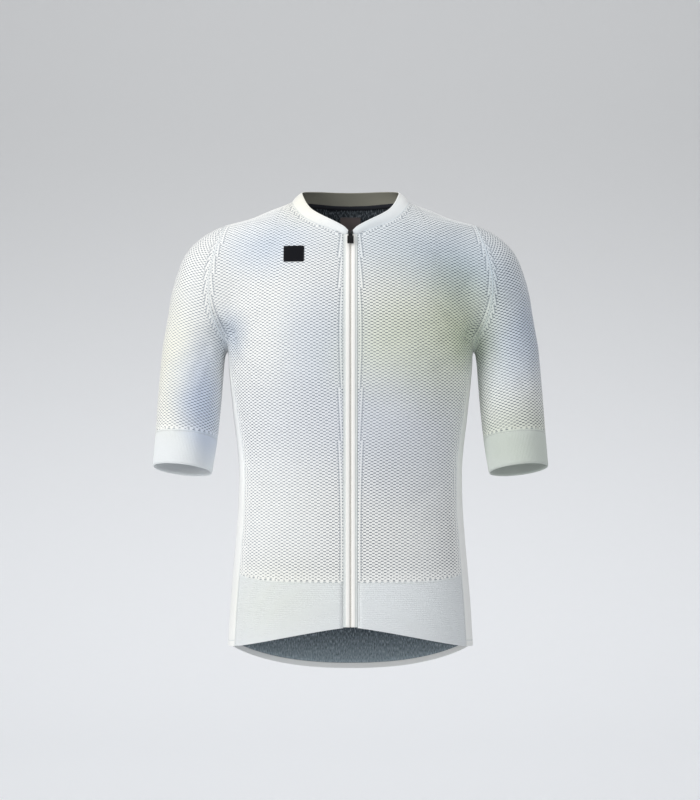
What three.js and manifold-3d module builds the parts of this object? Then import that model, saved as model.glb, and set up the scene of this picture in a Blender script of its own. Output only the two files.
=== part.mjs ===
// A short-sleeved cycling jersey with a full-length front zip, in the hollow form that it has when worn.
// Millimetres. +X is the wearer's left, -Y the front and +Z up.
// The origin lies between the two points where the shoulder seams meet the collar, at the shoulders' ridge.
//
// The cloth follows one smooth surface: a torso made of level sections, blended with two arm tubes.
// Every panel is a four-sided patch between its seams, settled on that surface and given its thickness.

import * as THREE from "three";
import { mergeVertices } from "three/addons/utils/BufferGeometryUtils.js";
import Module from "manifold-3d";

// Driving dimensions
const CLOTH = 1.6;
const SEAM_GAP = 0.3;
const LAYER_GAP = 0.4;
const RIDGE_Y = 5;
const SIDE_Z = -635;
const HEM_FRONT_RISE = 36;
const HEM_BACK_DROP = 48;
const HEM_FOLD = 8;
const POCKET_RISE = 40;
const BAND_SEAM_Z = -537;
const BAND_SEAM_LIFT = 8;
const ZIP_EDGE_X = 10.15;
const ZIP_TAPE_INNER_X = 1.05;
const ZIP_TAPE_PROUD = 0.5;
const ZIP_CHAIN_HALF = 1.05;
const ZIP_CHAIN_SUNK = 0.4;
const COLLAR_CLOTH = 2;
const CUFF_CLOTH = 2;
const ARM_DEPTH = 1.06;
const ARMHOLE_CENTRE_Z = -112;

// Level sections of the torso, from below the hem to above the collar.
// half: half width. front, back: depth from the ridge plane. square: the section's exponent.
const TORSO = [
  { z: -720, half: 178.5, front: 113, back: 113, square: 2.3 },
  { z: -640, half: 177.5, front: 112, back: 115, square: 2.3 },
  { z: -580, half: 174.3, front: 109, back: 113, square: 2.3 },
  { z: -530, half: 170.3, front: 106, back: 107, square: 2.3 },
  { z: -480, half: 166, front: 104, back: 99, square: 2.3 },
  { z: -430, half: 162.5, front: 104, back: 94, square: 2.3 },
  { z: -370, half: 162.3, front: 107, back: 95, square: 2.3 },
  { z: -300, half: 169.8, front: 114, back: 101, square: 2.3 },
  { z: -240, half: 175.8, front: 121, back: 108, square: 2.3 },
  { z: -200, half: 177.6, front: 124, back: 112, square: 2.3 },
  { z: -150, half: 181, front: 122, back: 114, square: 2.25 },
  { z: -100, half: 185, front: 108, back: 107, square: 2.2 },
  { z: -60, half: 186, front: 90, back: 94, square: 2.15 },
  { z: -40, half: 184, front: 80, back: 84, square: 2.1 },
  { z: -28, half: 174.5, front: 74, back: 77, square: 2.05 },
  { z: -17, half: 143, front: 69, back: 72, square: 2 },
  { z: -6, half: 117, front: 64, back: 68, square: 2 },
  { z: 3, half: 93, front: 60, back: 65, square: 2 },
  { z: 8, half: 84, front: 57, back: 62, square: 2 },
  { z: 30, half: 66, front: 50, back: 55, square: 2 },
];

// Centre line and radius of the wearer's left arm tube, from inside the shoulder to past the cuff.
const ARM = [
  { step: 0, x: 150, y: 8, z: -90, radius: 49 },
  { step: 1, x: 188, y: 8, z: -93, radius: 53 },
  { step: 2, x: 199, y: 8, z: -112, radius: 54 },
  { step: 3, x: 209, y: 8, z: -137, radius: 51.5 },
  { step: 4, x: 216, y: 7, z: -165, radius: 49 },
  { step: 5, x: 222.3, y: 5, z: -190, radius: 46.9 },
  { step: 6, x: 227.4, y: 1, z: -215, radius: 45.6 },
  { step: 7, x: 232.5, y: -10, z: -283, radius: 45.6 },
  { step: 8, x: 236.4, y: -19, z: -333, radius: 44.6 },
  { step: 9, x: 241.8, y: -30, z: -383, radius: 42.6 },
  { step: 10, x: 244.6, y: -36, z: -410, radius: 41.6 },
];
const ELBOW_SIDE_STEP = 6.25;
const CUFF_SEAM_STEP = 7.97;
const CUFF_END_STEP = 8.93;

// How widely the arm and the torso run into each other, at each height.
const BLEND = [
  { z: -720, width: 4 },
  { z: -214, width: 4 },
  { z: -200, width: 8 },
  { z: -185, width: 18 },
  { z: -160, width: 32 },
  { z: -110, width: 40 },
  { z: -60, width: 30 },
  { z: 30, width: 26 },
];

// The armhole seam, seen from the front.
const ARMHOLE = [
  { z: -260, x: 178.4 },
  { z: -212, x: 178.4 },
  { z: -203, x: 178.9 },
  { z: -195, x: 180.8 },
  { z: -185, x: 185.2 },
  { z: -168, x: 194 },
  { z: -148, x: 200 },
  { z: -120, x: 203 },
  { z: -94, x: 200.5 },
  { z: -69, x: 194.5 },
  { z: -49, x: 187.5 },
  { z: -28, x: 180.5 },
  { z: 0, x: 176 },
];

// Front and back seams of the side panel, as angles round the torso from the centre front.
const SIDE_PANEL = [
  { z: -720, front: 68, back: 110 },
  { z: -420, front: 68, back: 110 },
  { z: -320, front: 70, back: 108 },
  { z: -250, front: 76, back: 103 },
  { z: -200, front: 83, back: 97 },
];

// Half of the collar, from its front end to the centre back: its seam on the jersey and its free edge.
const COLLAR = [
  { step: 0, seamX: 3.5, seamZ: -45, edgeX: 3.5, edgeY: -77.5, edgeZ: -39 },
  { step: 1, seamX: 10.15, seamZ: -45, edgeX: 9.5, edgeY: -76.5, edgeZ: -33.5 },
  { step: 2, seamX: 24, seamZ: -38.5, edgeX: 21, edgeY: -74, edgeZ: -27 },
  { step: 3, seamX: 38.5, seamZ: -33, edgeX: 33.5, edgeY: -69.5, edgeZ: -20.5 },
  { step: 4, seamX: 52, seamZ: -27.5, edgeX: 45.5, edgeY: -63, edgeZ: -14 },
  { step: 5, seamX: 64.5, seamZ: -20.5, edgeX: 56, edgeY: -53.5, edgeZ: -6.5 },
  { step: 6, seamX: 74, seamZ: -11.5, edgeX: 63.5, edgeY: -40, edgeZ: 3.5 },
  { step: 7, seamX: 80.5, seamZ: -2.5, edgeX: 68.5, edgeY: -19, edgeZ: 14.5 },
  { step: 8, seamX: 84, seamZ: 7.8, edgeX: 70.5, edgeY: 6, edgeZ: 21.5 },
  { step: 9, seamX: 80, seamZ: 7.6, edgeX: 65.5, edgeY: 26, edgeZ: 24.5 },
  { step: 10, seamX: 67, seamZ: 7, edgeX: 55, edgeY: 42.5, edgeZ: 26 },
  { step: 11, seamX: 49, seamZ: 6, edgeX: 41, edgeY: 53, edgeZ: 26.6 },
  { step: 12, seamX: 25, seamZ: 4.6, edgeX: 21.5, edgeY: 60, edgeZ: 26.4 },
  { step: 13, seamX: 0, seamZ: 4, edgeX: 0, edgeY: 62.5, edgeZ: 26.2 },
];
const COLLAR_ZIP_STEP = 1;
const COLLAR_SIDE_STEP = 8;
const COLLAR_BACK_STEP = 13;

// Soft folds, each a line between two points with a width and a height; a trough has a negative height.
const FOLDS = [
  { x0: 176, y0: -46, z0: -196, x1: 128, y1: -102, z1: -142, width: 15, height: -2.6 },
  { x0: -174, y0: -48, z0: -200, x1: -118, y1: -108, z1: -158, width: 16, height: -2.4 },
  { x0: 168, y0: -66, z0: -236, x1: 112, y1: -112, z1: -214, width: 18, height: -1.8 },
  { x0: -168, y0: -62, z0: -250, x1: -128, y1: -104, z1: -300, width: 18, height: -1.8 },
  { x0: 196, y0: -44, z0: -196, x1: 246, y1: -52, z1: -252, width: 15, height: -2.8 },
  { x0: -194, y0: -46, z0: -190, x1: -252, y1: -44, z1: -236, width: 15, height: -3 },
  { x0: 196, y0: 56, z0: -192, x1: 244, y1: 48, z1: -250, width: 16, height: -2.6 },
  { x0: -196, y0: 56, z0: -196, x1: -248, y1: 46, z1: -242, width: 16, height: -2.4 },
  { x0: 168, y0: 62, z0: -206, x1: 96, y1: 112, z1: -170, width: 18, height: -2.4 },
  { x0: -168, y0: 60, z0: -210, x1: -104, y1: 108, z1: -182, width: 18, height: -2.2 },
  { x0: 150, y0: 56, z0: -430, x1: 58, y1: 98, z1: -404, width: 20, height: -2.2 },
  { x0: -152, y0: 54, z0: -446, x1: -70, y1: 98, z1: -424, width: 20, height: -2 },
];

// Numbers of rows and columns in the panels
const ARMHOLE_ROWS = 14;
const UNDERARM_ROWS = 2;
const SIDE_ROWS = 9;
const SHOULDER_COLUMNS = 5;
const SLEEVE_CAP_ROWS = 6;
const SLEEVE_TUBE_ROWS = 5;
const HALF_RING = ARMHOLE_ROWS + UNDERARM_ROWS;
const UNDERARM_ANGLE = 167;

const at = (x, y, z) => new THREE.Vector3(x, y, z);
const mix = (a, b, t) => a + (b - a) * t;
const clamp = (value, low, high) => Math.min(high, Math.max(low, value));
const radians = THREE.MathUtils.degToRad;
const fractions = (count) => Array.from({ length: count + 1 }, (_, i) => i / count);

// The value of a table's column at a key, on a smooth curve through its rows.
function lookup(table, key, column, value) {
  const last = table.length - 1;
  const v = clamp(value, table[0][key], table[last][key]);
  let i = 0;
  while (i < last - 1 && v > table[i + 1][key]) i += 1;
  const slope = (a, b) => (table[b][column] - table[a][column]) / (table[b][key] - table[a][key]);
  const width = table[i + 1][key] - table[i][key];
  const here = slope(Math.max(i - 1, 0), Math.min(i + 1, last));
  const next = slope(i, Math.min(i + 2, last));
  const t = (v - table[i][key]) / width;
  const rise = t * t * (3 - 2 * t);
  const bend = width * (here * t * (1 - t) * (1 - t) - next * t * t * (1 - t));
  return mix(table[i][column], table[i + 1][column], rise) + bend;
}

function armAt(step) {
  const value = (column) => lookup(ARM, "step", column, step);
  return { centre: at(value("x"), value("y"), value("z")), radius: value("radius") };
}

const ARM_LINE = fractions(48).map((t) => armAt(t * ARM[ARM.length - 1].step));

// Rough distance outside the torso, negative within it.
function torsoLevel(p) {
  const half = lookup(TORSO, "z", "half", p.z);
  const depth = lookup(TORSO, "z", p.y < RIDGE_Y ? "front" : "back", p.z);
  const square = lookup(TORSO, "z", "square", p.z);
  const across = Math.pow(Math.abs(p.x) / half, square);
  const along = Math.pow(Math.abs(p.y - RIDGE_Y) / depth, square);
  return (Math.pow(across + along, 1 / square) - 1) * Math.min(half, depth);
}

// Distance outside the nearer arm, negative within it.
function armLevel(p) {
  let nearest = Infinity;
  for (let i = 0; i + 1 < ARM_LINE.length; i += 1) {
    const a = ARM_LINE[i];
    const b = ARM_LINE[i + 1];
    const run = [b.centre.x - a.centre.x, (b.centre.y - a.centre.y) / ARM_DEPTH, b.centre.z - a.centre.z];
    const off = [Math.abs(p.x) - a.centre.x, (p.y - a.centre.y) / ARM_DEPTH, p.z - a.centre.z];
    const length2 = run[0] ** 2 + run[1] ** 2 + run[2] ** 2;
    const t = clamp((off[0] * run[0] + off[1] * run[1] + off[2] * run[2]) / length2, 0, 1);
    const away = Math.hypot(off[0] - t * run[0], off[1] - t * run[1], off[2] - t * run[2]);
    nearest = Math.min(nearest, away - mix(a.radius, b.radius, t));
  }
  return nearest;
}

// Zero on the jersey's outer surface: the torso and the arms, run together.
function bodyLevel(p) {
  const torso = torsoLevel(p);
  const arm = armLevel(p);
  const width = lookup(BLEND, "z", "width", p.z);
  const near = Math.max(width - Math.abs(torso - arm), 0) / width;
  return Math.min(torso, arm) - (near * near * width) / 4;
}

function gradient(p) {
  const h = 0.4;
  const across = (x, y, z) => {
    const ahead = bodyLevel(at(p.x + x, p.y + y, p.z + z));
    return (ahead - bodyLevel(at(p.x - x, p.y - y, p.z - z))) / (2 * h);
  };
  return at(across(h, 0, 0), across(0, h, 0), across(0, 0, h));
}

function foldHeight(p) {
  let height = 0;
  for (const fold of FOLDS) {
    const start = at(fold.x0, fold.y0, fold.z0);
    const run = at(fold.x1, fold.y1, fold.z1).sub(start);
    const t = clamp(p.clone().sub(start).dot(run) / run.lengthSq(), 0, 1);
    const away = p.distanceTo(start.addScaledVector(run, t)) / fold.width;
    height += fold.height * Math.exp(-away * away);
  }
  return height;
}

// The outer surface's point nearest to p, raised or sunk by the folds, with its normal.
function settle(p) {
  const q = p.clone();
  for (let i = 0; i < 14; i += 1) {
    const g = gradient(q);
    const move = clamp(-bodyLevel(q) / g.lengthSq(), -12, 12);
    q.addScaledVector(g, move);
    if (Math.abs(move) < 1e-5) break;
  }
  const normal = gradient(q).normalize();
  return { point: q.clone().addScaledVector(normal, foldHeight(q)), normal };
}

// The value between inside and outside where the surface lies along a path of points.
function crossing(path, inside, outside) {
  let low = inside;
  let high = outside;
  for (let i = 0; i < 40; i += 1) {
    const middle = (low + high) / 2;
    if (bodyLevel(path(middle)) < 0) low = middle;
    else high = middle;
  }
  return path((low + high) / 2);
}

const frontAt = (x, z) => settle(crossing((y) => at(x, y, z), RIDGE_Y, -230));
const backAt = (x, z) => settle(crossing((y) => at(x, y, z), RIDGE_Y, 230));

// A point of the torso's section at an angle round from the centre front, on one side.
function torsoAt(degrees, z, side) {
  const power = 2 / lookup(TORSO, "z", "square", z);
  const across = Math.pow(Math.abs(Math.sin(radians(degrees))), power);
  const along = Math.pow(Math.abs(Math.cos(radians(degrees))), power);
  const x = lookup(TORSO, "z", "half", z) * across;
  const inFront = degrees < 90;
  const depth = lookup(TORSO, "z", inFront ? "front" : "back", z) * along;
  return at(side * x, RIDGE_Y + (inFront ? -depth : depth), z);
}

// Height of the hem at an angle round from the centre front.
function hemZ(degrees) {
  const turn = Math.abs(Math.sin(radians(degrees)));
  if (degrees < 90) return SIDE_Z + HEM_FRONT_RISE * (1 - Math.pow(turn, 1.1));
  return SIDE_Z - HEM_BACK_DROP * Math.pow(Math.abs(Math.cos(radians(degrees))), 1.4);
}

// The armhole seam. Step 0 is the shoulder point and step HALF_RING the underarm; face is -1 in front.
function armholeAt(step, face, side) {
  const degrees =
    step <= ARMHOLE_ROWS
      ? (UNDERARM_ANGLE * step) / ARMHOLE_ROWS
      : mix(UNDERARM_ANGLE, 180, (step - ARMHOLE_ROWS) / UNDERARM_ROWS);
  const ray = (r) => {
    const z = ARMHOLE_CENTRE_Z + r * Math.cos(radians(degrees));
    const y = RIDGE_Y + face * r * Math.sin(radians(degrees));
    return at(side * lookup(ARMHOLE, "z", "x", z), y, z);
  };
  return settle(crossing(ray, 0, 150));
}

// The collar's seam on the jersey at a step of the collar's table.
function neckAt(step, side) {
  const x = side * lookup(COLLAR, "step", "seamX", step);
  const z = lookup(COLLAR, "step", "seamZ", step);
  if (step === COLLAR_SIDE_STEP) return settle(at(x, RIDGE_Y, z));
  return step < COLLAR_SIDE_STEP ? frontAt(x, z) : backAt(x, z);
}

// The shoulder seam, from the collar at t = 0 to the armhole at t = 1.
function shoulderAt(t, side) {
  const neck = neckAt(COLLAR_SIDE_STEP, side).point;
  const tip = armholeAt(0, -1, side).point;
  return settle(neck.lerp(tip, t));
}

// The side panel's seam at a row: two rows up the hem, one to the band's seam, then up to the armhole.
function sideSeamRows(column, face, side) {
  const angleAt = (z) => lookup(SIDE_PANEL, "z", column, z);
  const low = hemZ(angleAt(SIDE_Z));
  const top = armholeAt(ARMHOLE_ROWS, face, side);
  const seam = BAND_SEAM_Z + BAND_SEAM_LIFT;
  const heights = [low, low + HEM_FOLD, low + POCKET_RISE];
  for (const t of fractions(SIDE_ROWS)) heights.push(mix(seam, top.point.z, t));
  const rows = heights.slice(0, -1).map((z) => {
    const rise = clamp((z - top.point.z + 60) / 60, 0, 1);
    const start = torsoAt(angleAt(z), z, side);
    start.lerp(at(top.point.x, top.point.y, z), rise * rise);
    return settle(start);
  });
  return [...rows, top];
}

const HEM_ROWS = 3;
const armholeRows = (face, side) =>
  fractions(ARMHOLE_ROWS).map((t) => armholeAt(ARMHOLE_ROWS * (1 - t), face, side));

// How far along each point of a line lies, from 0 to 1.
function spacing(line) {
  const run = [0];
  for (let i = 1; i < line.length; i += 1) run.push(run[i - 1] + line[i].point.distanceTo(line[i - 1].point));
  return run.map((length) => length / run[run.length - 1]);
}

// A patch between four lines of settled points, as rows from the lower line to the upper one.
function patch(lower, upper, left, right) {
  const rows = left.length - 1;
  const columns = lower.length - 1;
  const [across, acrossTop, up, upRight] = [spacing(lower), spacing(upper), spacing(left), spacing(right)];
  return left.map((_, r) =>
    lower.map((_, c) => {
      if (r === 0) return lower[c];
      if (r === rows) return upper[c];
      if (c === 0) return left[r];
      if (c === columns) return right[r];
      const t = mix(up[r], upRight[r], c / columns);
      const s = mix(across[c], acrossTop[c], t);
      const p = at(0, 0, 0);
      p.addScaledVector(left[r].point, 1 - s).addScaledVector(right[r].point, s);
      p.addScaledVector(lower[c].point, 1 - t).addScaledVector(upper[c].point, t);
      p.addScaledVector(lower[0].point, -(1 - s) * (1 - t)).addScaledVector(upper[0].point, -(1 - s) * t);
      p.addScaledVector(lower[columns].point, -s * (1 - t)).addScaledVector(upper[columns].point, -s * t);
      return settle(p);
    }),
  );
}

// The grid with its border drawn in by half a seam's gap. A closed grid's columns run round a tube.
function drawIn(grid, closed = false) {
  const rows = grid.length - 1;
  const columns = grid[0].length - 1;
  const inner = (k, last) => (k === 0 ? 1 : Math.min(k, last - 1));
  const bottom = grid[0].map((_, c) => [0, c]);
  const top = grid[0].map((_, c) => [rows, c]).reverse();
  const right = grid.slice(1, -1).map((_, i) => [i + 1, columns]);
  const left = right.map(([r]) => [r, 0]).reverse();
  const drawn = grid.map((row) => row.map(({ point, normal }) => ({ point: point.clone(), normal })));
  for (const border of closed ? [bottom, top] : [[...bottom, ...right, ...top, ...left]])
    border.forEach(([r, c], i) => {
      const here = grid[r][c];
      const inside = grid[inner(r, rows)][closed ? c : inner(c, columns)].point.clone().sub(here.point);
      const [before, after] = [i - 1, i + 1].map((k) => {
        const [nextRow, nextColumn] = border[(k + border.length) % border.length];
        const edge = grid[nextRow][nextColumn].point.clone().sub(here.point);
        const way = edge.cross(here.normal).normalize();
        return way.dot(inside) < 0 ? way.negate() : way;
      });
      const stretch = SEAM_GAP / 2 / Math.max(1 + before.dot(after), 0.5);
      drawn[r][c].point.addScaledVector(before.add(after), stretch);
    });
  return drawn;
}

// A closed wall round a grid, from a height inside the surface to a height outside it.
function wall(grid, inside, outside, closed = false) {
  const rows = grid.length;
  const columns = grid[0].length;
  const positions = [];
  for (const height of [outside, inside])
    for (const row of grid)
      for (const { point, normal } of row) positions.push(...point.clone().addScaledVector(normal, height));
  const outer = (r, c) => r * columns + (c % columns);
  const inner = (r, c) => rows * columns + outer(r, c);
  const faces = [];
  const quad = (a, b, c, d) => faces.push(a, b, c, a, c, d);
  const pointAt = (r, c) => grid[r][c % columns].point;
  const spans = closed ? columns : columns - 1;
  for (let r = 0; r + 1 < rows; r += 1)
    for (let c = 0; c < spans; c += 1) {
      const rising = pointAt(r, c).distanceTo(pointAt(r + 1, c + 1));
      const falling = pointAt(r + 1, c).distanceTo(pointAt(r, c + 1));
      if (rising < falling) {
        quad(outer(r, c), outer(r, c + 1), outer(r + 1, c + 1), outer(r + 1, c));
        quad(inner(r, c), inner(r + 1, c), inner(r + 1, c + 1), inner(r, c + 1));
      } else {
        quad(outer(r, c + 1), outer(r + 1, c + 1), outer(r + 1, c), outer(r, c));
        quad(inner(r + 1, c), inner(r + 1, c + 1), inner(r, c + 1), inner(r, c));
      }
    }
  for (let c = 0; c < spans; c += 1) {
    quad(outer(0, c), inner(0, c), inner(0, c + 1), outer(0, c + 1));
    quad(outer(rows - 1, c), outer(rows - 1, c + 1), inner(rows - 1, c + 1), inner(rows - 1, c));
  }
  for (let r = 0; r + 1 < rows && !closed; r += 1) {
    quad(outer(r, 0), outer(r + 1, 0), inner(r + 1, 0), inner(r, 0));
    quad(outer(r, columns - 1), inner(r, columns - 1), inner(r + 1, columns - 1), outer(r + 1, columns - 1));
  }
  return facingOut(positions, faces);
}

// A closed geometry with its faces turned outwards.
function facingOut(positions, faces) {
  const corner = (i) => at(...positions.slice(3 * i, 3 * i + 3));
  let volume = 0;
  for (let i = 0; i < faces.length; i += 3)
    volume += corner(faces[i]).dot(corner(faces[i + 1]).cross(corner(faces[i + 2])));
  if (volume < 0)
    for (let i = 0; i < faces.length; i += 3) [faces[i + 1], faces[i + 2]] = [faces[i + 2], faces[i + 1]];
  const geometry = new THREE.BufferGeometry();
  geometry.setAttribute("position", new THREE.Float32BufferAttribute(positions, 3));
  geometry.setIndex(faces);
  geometry.computeVertexNormals();
  return geometry;
}

// Front panel, hem band and zip tape on one side
const frontNeck = (side) =>
  fractions(COLLAR_SIDE_STEP - COLLAR_ZIP_STEP).map((_, i) => neckAt(COLLAR_ZIP_STEP + i, side));
const shoulder = (side) => fractions(SHOULDER_COLUMNS).map((t) => shoulderAt(t, side));
const FRONT_COLUMNS = COLLAR_SIDE_STEP - COLLAR_ZIP_STEP + SHOULDER_COLUMNS;

// A level line round the front, from the zip's edge to the side panel.
function frontLine(heightAt, side, end) {
  const first = heightAt(0);
  const [half, square] = [lookup(TORSO, "z", "half", first), lookup(TORSO, "z", "square", first)];
  const startAngle = THREE.MathUtils.radToDeg(Math.asin(Math.pow(ZIP_EDGE_X / half, square / 2)));
  const endAngle = lookup(SIDE_PANEL, "z", "front", SIDE_Z);
  return fractions(FRONT_COLUMNS).map((t) => {
    if (t === 1) return end;
    const degrees = mix(startAngle, endAngle, t);
    const z = heightAt(degrees);
    return t === 0 ? frontAt(side * ZIP_EDGE_X, z) : settle(torsoAt(degrees, z, side));
  });
}

function frontPieces(side) {
  const sideSeam = sideSeamRows("front", -1, side);
  const bandSeam = frontLine(
    (degrees) => BAND_SEAM_Z + BAND_SEAM_LIFT * Math.pow(clamp(degrees / 68, 0, 1), 4),
    side,
    sideSeam[HEM_ROWS],
  );
  const hem = frontLine(hemZ, side, sideSeam[0]);
  const neck = frontNeck(side);
  const [low, high] = [bandSeam[0].point.z, neck[0].point.z];
  const chest = -212;
  const zipHeights = [
    ...fractions(SIDE_ROWS).slice(0, -1).map((t) => mix(low, chest, t)),
    ...fractions(ARMHOLE_ROWS).map((t) => mix(chest, high, t)),
  ];
  const zipEdge = zipHeights.map((z) => frontAt(side * ZIP_EDGE_X, z));
  zipEdge[0] = bandSeam[0];
  zipEdge[zipEdge.length - 1] = neck[0];
  const bottom = hem[0].point.z;
  const bandZip = [bottom, bottom + HEM_FOLD, bottom + POCKET_RISE * 0.7, low].map((z, i, all) =>
    i === all.length - 1 ? bandSeam[0] : frontAt(side * ZIP_EDGE_X, z),
  );
  bandZip[0] = hem[0];
  const outerEdge = [...sideSeam.slice(HEM_ROWS, -1), ...armholeRows(-1, side)];
  const top = [...neck, ...shoulder(side).slice(1)];
  const zipLine = [...bandZip.slice(0, -1), ...zipEdge];
  const tapeInner = zipLine.map(({ point }) => frontAt(side * ZIP_TAPE_INNER_X, point.z));
  return {
    panel: patch(bandSeam, top, zipEdge, outerEdge),
    band: patch(hem, bandSeam, bandZip, sideSeam.slice(0, HEM_ROWS + 1)),
    tape: zipLine.map((point, i) => [tapeInner[i], point]),
    chainEdge: zipLine.map(({ point }) => frontAt(side * (ZIP_CHAIN_HALF - SEAM_GAP / 2), point.z)),
  };
}

// Angles round the torso of the back hem: both side panels and the back between them
const SIDE_COLUMNS = 2 * UNDERARM_ROWS;
const BACK_NECK_COLUMNS = 2 * (COLLAR_BACK_STEP - COLLAR_SIDE_STEP);
const BACK_COLUMNS = BACK_NECK_COLUMNS + 2 * SHOULDER_COLUMNS;

const sideHem = (lift, side, ends) =>
  fractions(SIDE_COLUMNS).map((t) => {
    if (t === 0 || t === 1) return ends[t];
    const low = SIDE_PANEL[0];
    const degrees = mix(low.front, low.back, t);
    return settle(torsoAt(degrees, hemZ(degrees) + lift, side));
  });

const backHem = (lift, ends) =>
  fractions(BACK_COLUMNS).map((t) => {
    if (t === 0 || t === 1) return ends[t];
    const turned = mix(SIDE_PANEL[0].back, 360 - SIDE_PANEL[0].back, t);
    const degrees = turned > 180 ? 360 - turned : turned;
    return settle(torsoAt(degrees, hemZ(degrees) + lift, turned > 180 ? 1 : -1));
  });

function sidePanel(side) {
  const front = sideSeamRows("front", -1, side);
  const back = sideSeamRows("back", 1, side);
  const underarm = [-1, -1, -1, 1, 1].map((face, i) => {
    const step = HALF_RING - Math.abs(i - UNDERARM_ROWS);
    return armholeAt(step, face, side);
  });
  const low = sideHem(HEM_FOLD, side, [front[1], back[1]]);
  return patch(low, underarm, front.slice(1), back.slice(1));
}

function backPanel() {
  const edges = [-1, 1].map((side) => {
    const seam = sideSeamRows("back", 1, side);
    return [...seam.slice(1, -1), ...armholeRows(1, side)];
  });
  const neck = (side) =>
    fractions(COLLAR_BACK_STEP - COLLAR_SIDE_STEP).map((_, i) => neckAt(COLLAR_SIDE_STEP + i, side));
  const half = (side) => [...shoulder(side).reverse().slice(0, -1), ...neck(side)];
  const top = [...half(-1), ...half(1).reverse().slice(1)];
  return patch(backHem(HEM_FOLD, [edges[0][0], edges[1][0]]), top, edges[0], edges[1]);
}

// The narrow hem that runs from one front band round the back to the other.
function backBand() {
  const line = (lift, row) => {
    const seams = (side) => [
      sideSeamRows("front", -1, side)[row],
      sideSeamRows("back", 1, side)[row],
    ];
    const [right, left] = [seams(-1), seams(1)];
    return [
      ...sideHem(lift, -1, right),
      ...backHem(lift, [right[1], left[1]]).slice(1),
      ...sideHem(lift, 1, left).reverse().slice(1),
    ];
  };
  return [line(0, 0), line(HEM_FOLD, 1)];
}

// A ring of the arm tube, square to its centre line; angles run as on the armhole.
function armRing(step, evenness, side) {
  const { centre, radius } = armAt(step);
  const along = armAt(step + 0.05).centre.sub(armAt(step - 0.05).centre).normalize();
  const front = at(0, -1, 0).addScaledVector(along, along.y).normalize();
  const outward = front.clone().cross(along).normalize();
  if (outward.x < 0) outward.negate();
  return ringSteps().map(({ step: place, face }) => {
    const bunched =
      place <= ARMHOLE_ROWS
        ? (UNDERARM_ANGLE * place) / ARMHOLE_ROWS
        : mix(UNDERARM_ANGLE, 180, (place - ARMHOLE_ROWS) / UNDERARM_ROWS);
    const angle = radians(mix(bunched, (180 * place) / HALF_RING, evenness));
    const p = centre.clone().addScaledVector(outward, radius * Math.cos(angle));
    p.addScaledVector(front, -face * radius * ARM_DEPTH * Math.sin(angle));
    return settle(at(side * p.x, p.y, p.z));
  });
}

// The places round a sleeve: down the front from the shoulder, then up the back.
function ringSteps() {
  const down = fractions(HALF_RING).map((_, i) => ({ step: i, face: -1 }));
  const up = fractions(HALF_RING).map((_, i) => ({ step: HALF_RING - i, face: 1 }));
  return [...down, ...up.slice(1, -1)];
}

function sleeve(side) {
  const cap = ringSteps().map(({ step, face }) => armholeAt(step, face, side));
  const tube = armRing(ELBOW_SIDE_STEP, 0.5, side);
  const down = armAt(ELBOW_SIDE_STEP + 0.3).centre.sub(armAt(ELBOW_SIDE_STEP - 0.3).centre).normalize();
  down.x *= side;
  const capRows = fractions(SLEEVE_CAP_ROWS)
    .slice(1, -1)
    .map((t) =>
      cap.map((start, i) => {
        const end = tube[i];
        const reach = start.point.distanceTo(end.point);
        const high = (start.point.z - cap[HALF_RING].point.z) / (cap[0].point.z - cap[HALF_RING].point.z);
        const straight = end.point.clone().sub(start.point).normalize();
        const out = at(side, 0, -0.25).normalize().lerp(straight, 1 - high).normalize();
        const p = start.point.clone().multiplyScalar((1 + 2 * t) * (1 - t) * (1 - t));
        p.addScaledVector(out, reach * t * (1 - t) * (1 - t));
        p.addScaledVector(end.point, t * t * (3 - 2 * t));
        p.addScaledVector(down, -reach * t * t * (1 - t));
        return settle(p);
      }),
    );
  const tubeRows = fractions(SLEEVE_TUBE_ROWS).map((t) =>
    armRing(mix(ELBOW_SIDE_STEP, CUFF_SEAM_STEP, t), mix(0.5, 1, t), side),
  );
  return [cap, ...capRows, ...tubeRows];
}

const cuff = (side) => [CUFF_SEAM_STEP, CUFF_END_STEP].map((step) => armRing(step, 1, side));

// The collar stands on its seam and leans in to its free edge.
function collar() {
  const half = (side) =>
    COLLAR.map(({ step }) => {
      const seam = neckAt(step, side);
      const row = COLLAR[step];
      return { seam, edge: at(side * row.edgeX, row.edgeY, row.edgeZ) };
    });
  const line = [...half(-1), ...half(1).reverse().slice(1)];
  const normals = line.map(({ seam, edge }, i) => {
    const before = line[Math.max(i - 1, 0)];
    const after = line[Math.min(i + 1, line.length - 1)];
    const along = after.edge.clone().sub(before.edge).add(after.seam.point).sub(before.seam.point);
    const normal = along.cross(edge.clone().sub(seam.point)).normalize();
    return normal.dot(at(edge.x, edge.y - RIDGE_Y, 0)) < 0 ? normal.negate() : normal;
  });
  const row = (t) =>
    line.map(({ seam, edge }, i) => {
      const bow = 1.2 * Math.sin(Math.PI * t);
      const point = seam.point.clone().lerp(edge, t).addScaledVector(normals[i], bow);
      return { point, normal: normals[i] };
    });
  return [row(0), row(0.5), row(1)];
}

// Chest patch: a small badge of cloth on the wearer's right front
const PATCH = { x: -80, z: -73.5, width: 29, height: 23, thickness: 1, columns: 3, rows: 3 };
function chestPatch() {
  return fractions(PATCH.rows).map((t) =>
    fractions(PATCH.columns).map((s) =>
      frontAt(PATCH.x + (s - 0.5) * PATCH.width, PATCH.z + (t - 0.5) * PATCH.height),
    ),
  );
}

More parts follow.
